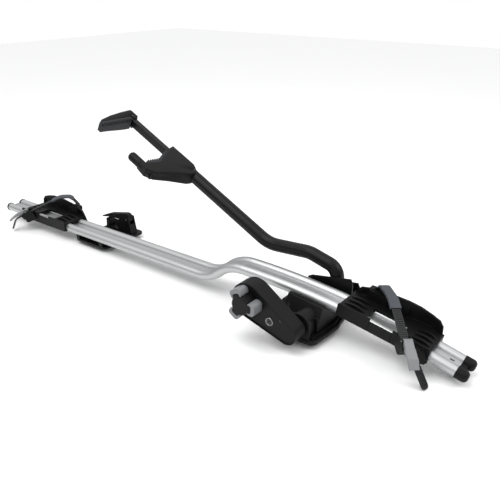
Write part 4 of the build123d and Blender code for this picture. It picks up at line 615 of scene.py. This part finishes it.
def bent_copy(name, node_name, bend, end=lambda v: v):
    """A copy of a jaw's piece with its height tapered."""
    mesh_data = node_mesh(node_name)
    for vertex in mesh_data.verts:
        local = vertex.co / mm - ARM_PIVOT
        u, v, n = local.dot(arm_along), local.dot(arm_near), local.dot(arm_square)
        vertex.co = arm_place(u, end(v), bend(v, n))
    return finish_piece(name, mesh_data, node_name)


def along_line(points, share):
    """The point at a share of the way along a run of lines, each line an equal part of it."""
    last = len(points) - 1
    place = min(share * last, last - TINY)
    i = int(place)
    return Vector(points[i]).lerp(Vector(points[i + 1]), place - i)


def edge_sink(gap):
    """How far a pad's face lies back at this gap from its edge."""
    slope = 1 - min(gap, PAD_ROUND) / PAD_ROUND
    return PAD_ROUND * (1 - sqrt(max(0.0, 1 - slope ** 2))) * PAD_CROWN_SHARE


def tooth_columns(start, end, length):
    """Shares along a pad's face where its teeth rise and fall, each with whether it is a crest."""
    count = max(TOOTH_LEAST_COUNT, round(length * (end - start) / TOOTH_PITCH))
    width = (end - start) / count
    columns = []
    for tooth in range(count):
        base = start + (end - start) * tooth / count
        columns += [(base, True), (base + TOOTH_CREST_SHARE * width, True)]
        columns += [(base + share * width, False) for share in TOOTH_GAP_SHARES]
    return columns + [(end, True)]


def toothed_pad(name, node_name, face, back, shares, low, bend):
    """A soft pad between a face and a back line, with a band of teeth along its upper edge."""
    start, end = shares
    length = sum((Vector(b) - Vector(a)).length for a, b in zip(face, face[1:]))
    columns = tooth_columns(start, end, length)
    smooth_top = PAD_TOP - TOOTH_BAND - TOOTH_STEP
    levels = [(PAD_TOP, True), (PAD_TOP - TOOTH_BAND, True)]
    levels += [(smooth_top + (low - smooth_top) * i / PAD_ROWS, False) for i in range(PAD_ROWS + 1)]
    mesh_data = bmesh.new()
    front_rows, back_rows = [], []
    for n, toothed in levels:
        front_row, back_row = [], []
        for share, crest in columns:
            front, rear = along_line(face, share), along_line(back, share)
            sink = edge_sink(min(share - start, end - share) * length)
            if toothed:
                sink += TOOTH_CREST if crest else TOOTH_DEPTH
            else:
                sink += edge_sink(min(smooth_top - n, n - low))
            sink = min(sink, (rear - front).length - PAD_LEAST)
            front += (rear - front).normalized() * sink
            for row, spot in ((front_row, front), (back_row, rear)):
                row.append(mesh_data.verts.new(arm_place(spot.x, spot.y, bend(spot.y, n))))
        front_rows.append(front_row)
        back_rows.append(back_row)
    for rows in (front_rows, back_rows):
        for row, following in zip(rows, rows[1:]):
            bridge(mesh_data, row, following, closed=False)
    for end_row in (0, -1):
        bridge(mesh_data, front_rows[end_row], back_rows[end_row], closed=False)
        bridge(mesh_data, [row[end_row] for row in front_rows],
               [row[end_row] for row in back_rows], closed=False)
    return finish_piece(name, mesh_data, node_name, PAD_SHARP_ANGLE)


toothed_pad("upper_jaw_cushion", "upper_jaw_pad", UPPER_PAD_FACE, UPPER_PAD_BACK,
            UPPER_PAD_SHARES, UPPER_PAD_LOW, upper_bend)
toothed_pad("lower_jaw_cushion", "lower_jaw_pad", LOWER_PAD_FACE, LOWER_PAD_BACK,
            LOWER_PAD_SHARES, LOWER_PAD_LOW, lower_bend)
bent_copy("upper_jaw_cover", "upper_jaw_shell", upper_bend)
bent_copy("lower_jaw_upper_cover", "lower_jaw_top_shell", lower_bend, lower_end)
bent_copy("lower_jaw_under_cover", "lower_jaw_bottom_shell", lower_bend, lower_end)
bent_copy("lower_jaw_cover_screws", "lower_jaw_screws", lower_bend)

# Mats under the feet: the pads' own outlines with cross grooves in the underside, metres
MAT_PITCH = 9.0 * mm
MAT_GROOVE_HALF = 1.0 * mm
MAT_GROOVE_DEPTH = 0.7 * mm
MAT_CUT_REST = 1e-7
MAT_UNDERSIDE = -0.9


def grooved_mat(name, node_name):
    """A foot's rubber mat, its underside grooved across the car."""
    mesh_data = node_mesh(node_name)
    low, high = [Vector(corner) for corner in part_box(node_name)]
    margin = MAT_PITCH / 2

    def in_groove(face):
        """Whether a face of the underside lies where a groove goes."""
        along = face.calc_center_median().x - low.x
        return (face.normal.z < MAT_UNDERSIDE and margin < along < high.x - low.x - margin
                and (along + MAT_GROOVE_HALF) % MAT_PITCH < 2 * MAT_GROOVE_HALF)

    middle = low.x + MAT_PITCH
    while middle < high.x - margin:
        for side in (-1, 1):
            everything = mesh_data.verts[:] + mesh_data.edges[:] + mesh_data.faces[:]
            bmesh.ops.bisect_plane(mesh_data, geom=everything, dist=MAT_CUT_REST,
                                   plane_co=(middle + side * MAT_GROOVE_HALF, 0, 0),
                                   plane_no=(1, 0, 0))
        middle += MAT_PITCH
    grooves = [face for face in mesh_data.faces if in_groove(face)]
    made = bmesh.ops.extrude_face_region(mesh_data, geom=grooves)
    bmesh.ops.delete(mesh_data, geom=grooves, context="FACES")
    for vertex in made["geom"]:
        if isinstance(vertex, bmesh.types.BMVert):
            vertex.co.z += MAT_GROOVE_DEPTH
    return finish_piece(name, mesh_data, node_name)


grooved_mat("front_foot_mat", "front_bar_pad")
grooved_mat("rear_foot_mat", "rear_bar_pad")

# Studio floor, just below the part
FLOOR_HALF = 6.0
FLOOR_DROP = 0.0005
floor_z = cad_box[0][2] - FLOOR_DROP
floor_surface = Surface("floor", (0.93, 0.93, 0.93), roughness=0.9, specular=0.2)
floor_surface.vary_colour(scale=2, amount=0.01)
floor_mesh = bpy.data.meshes.new("floor")
floor_mesh.from_pydata([(x * FLOOR_HALF, y * FLOOR_HALF, floor_z)
                        for x, y in ((-1, -1), (1, -1), (1, 1), (-1, 1))], [], [(0, 1, 2, 3)])
floor_mesh.materials.append(floor_surface.material)
floor = add_object("floor", floor_mesh)


def soft_box(name, place, target, size, power):
    """A square area light that faces a target."""
    data = bpy.data.lights.new(name, "AREA")
    data.energy = power
    data.size = size
    light = add_object(name, data)
    light.location = place
    light.rotation_euler = facing(Vector(target) - Vector(place))


soft_box("key_light", place=(-0.6, -0.9, 2.2), target=(-0.3, 0.0, 0.1), size=1.6, power=26.0)
soft_box("side_light", place=(1.6, 0.6, 1.5), target=(-0.2, 0.0, 0.1), size=1.0, power=12.0)

# Sky: white overhead and grey towards the horizon, so that the tubes get dark and bright bands.
# The camera itself sees plain white behind the part
SKY_TOP = (1.0, 1.0, 1.0, 1.0)
SKY_LOW = (0.30, 0.305, 0.31, 1.0)
SKY_FADE = (0.05, 0.75)
SKY_STRENGTH = 1.15
BACKDROP = (1.0, 1.0, 1.0, 1.0)

world = bpy.data.worlds.new("world")
world.use_nodes = True
sky = world.node_tree
background = sky.nodes["Background"]
coordinates = sky.nodes.new("ShaderNodeTexCoord")
split = sky.nodes.new("ShaderNodeSeparateXYZ")
sky.links.new(coordinates.outputs["Generated"], split.inputs["Vector"])
fade = sky.nodes.new("ShaderNodeMapRange")
fade.interpolation_type = "SMOOTHSTEP"
fade.inputs["From Min"].default_value, fade.inputs["From Max"].default_value = SKY_FADE
sky.links.new(split.outputs["Z"], fade.inputs["Value"])
tone = sky.nodes.new("ShaderNodeMix")
tone.data_type = "RGBA"
for socket, colour in zip(colour_sockets(tone.inputs), (SKY_LOW, SKY_TOP)):
    socket.default_value = colour
sky.links.new(fade.outputs["Result"], tone.inputs[0])
sky.links.new(colour_sockets(tone.outputs)[0], background.inputs["Color"])
background.inputs["Strength"].default_value = SKY_STRENGTH
backdrop = sky.nodes.new("ShaderNodeBackground")
backdrop.inputs["Color"].default_value = BACKDROP
seen = sky.nodes.new("ShaderNodeLightPath")
either = sky.nodes.new("ShaderNodeMixShader")
sky.links.new(seen.outputs["Is Camera Ray"], either.inputs[0])
sky.links.new(background.outputs[0], either.inputs[1])
sky.links.new(backdrop.outputs[0], either.inputs[2])
sky.links.new(either.outputs[0], sky.nodes["World Output"].inputs["Surface"])
scene.world = world
scene.view_settings.view_transform = "Standard"
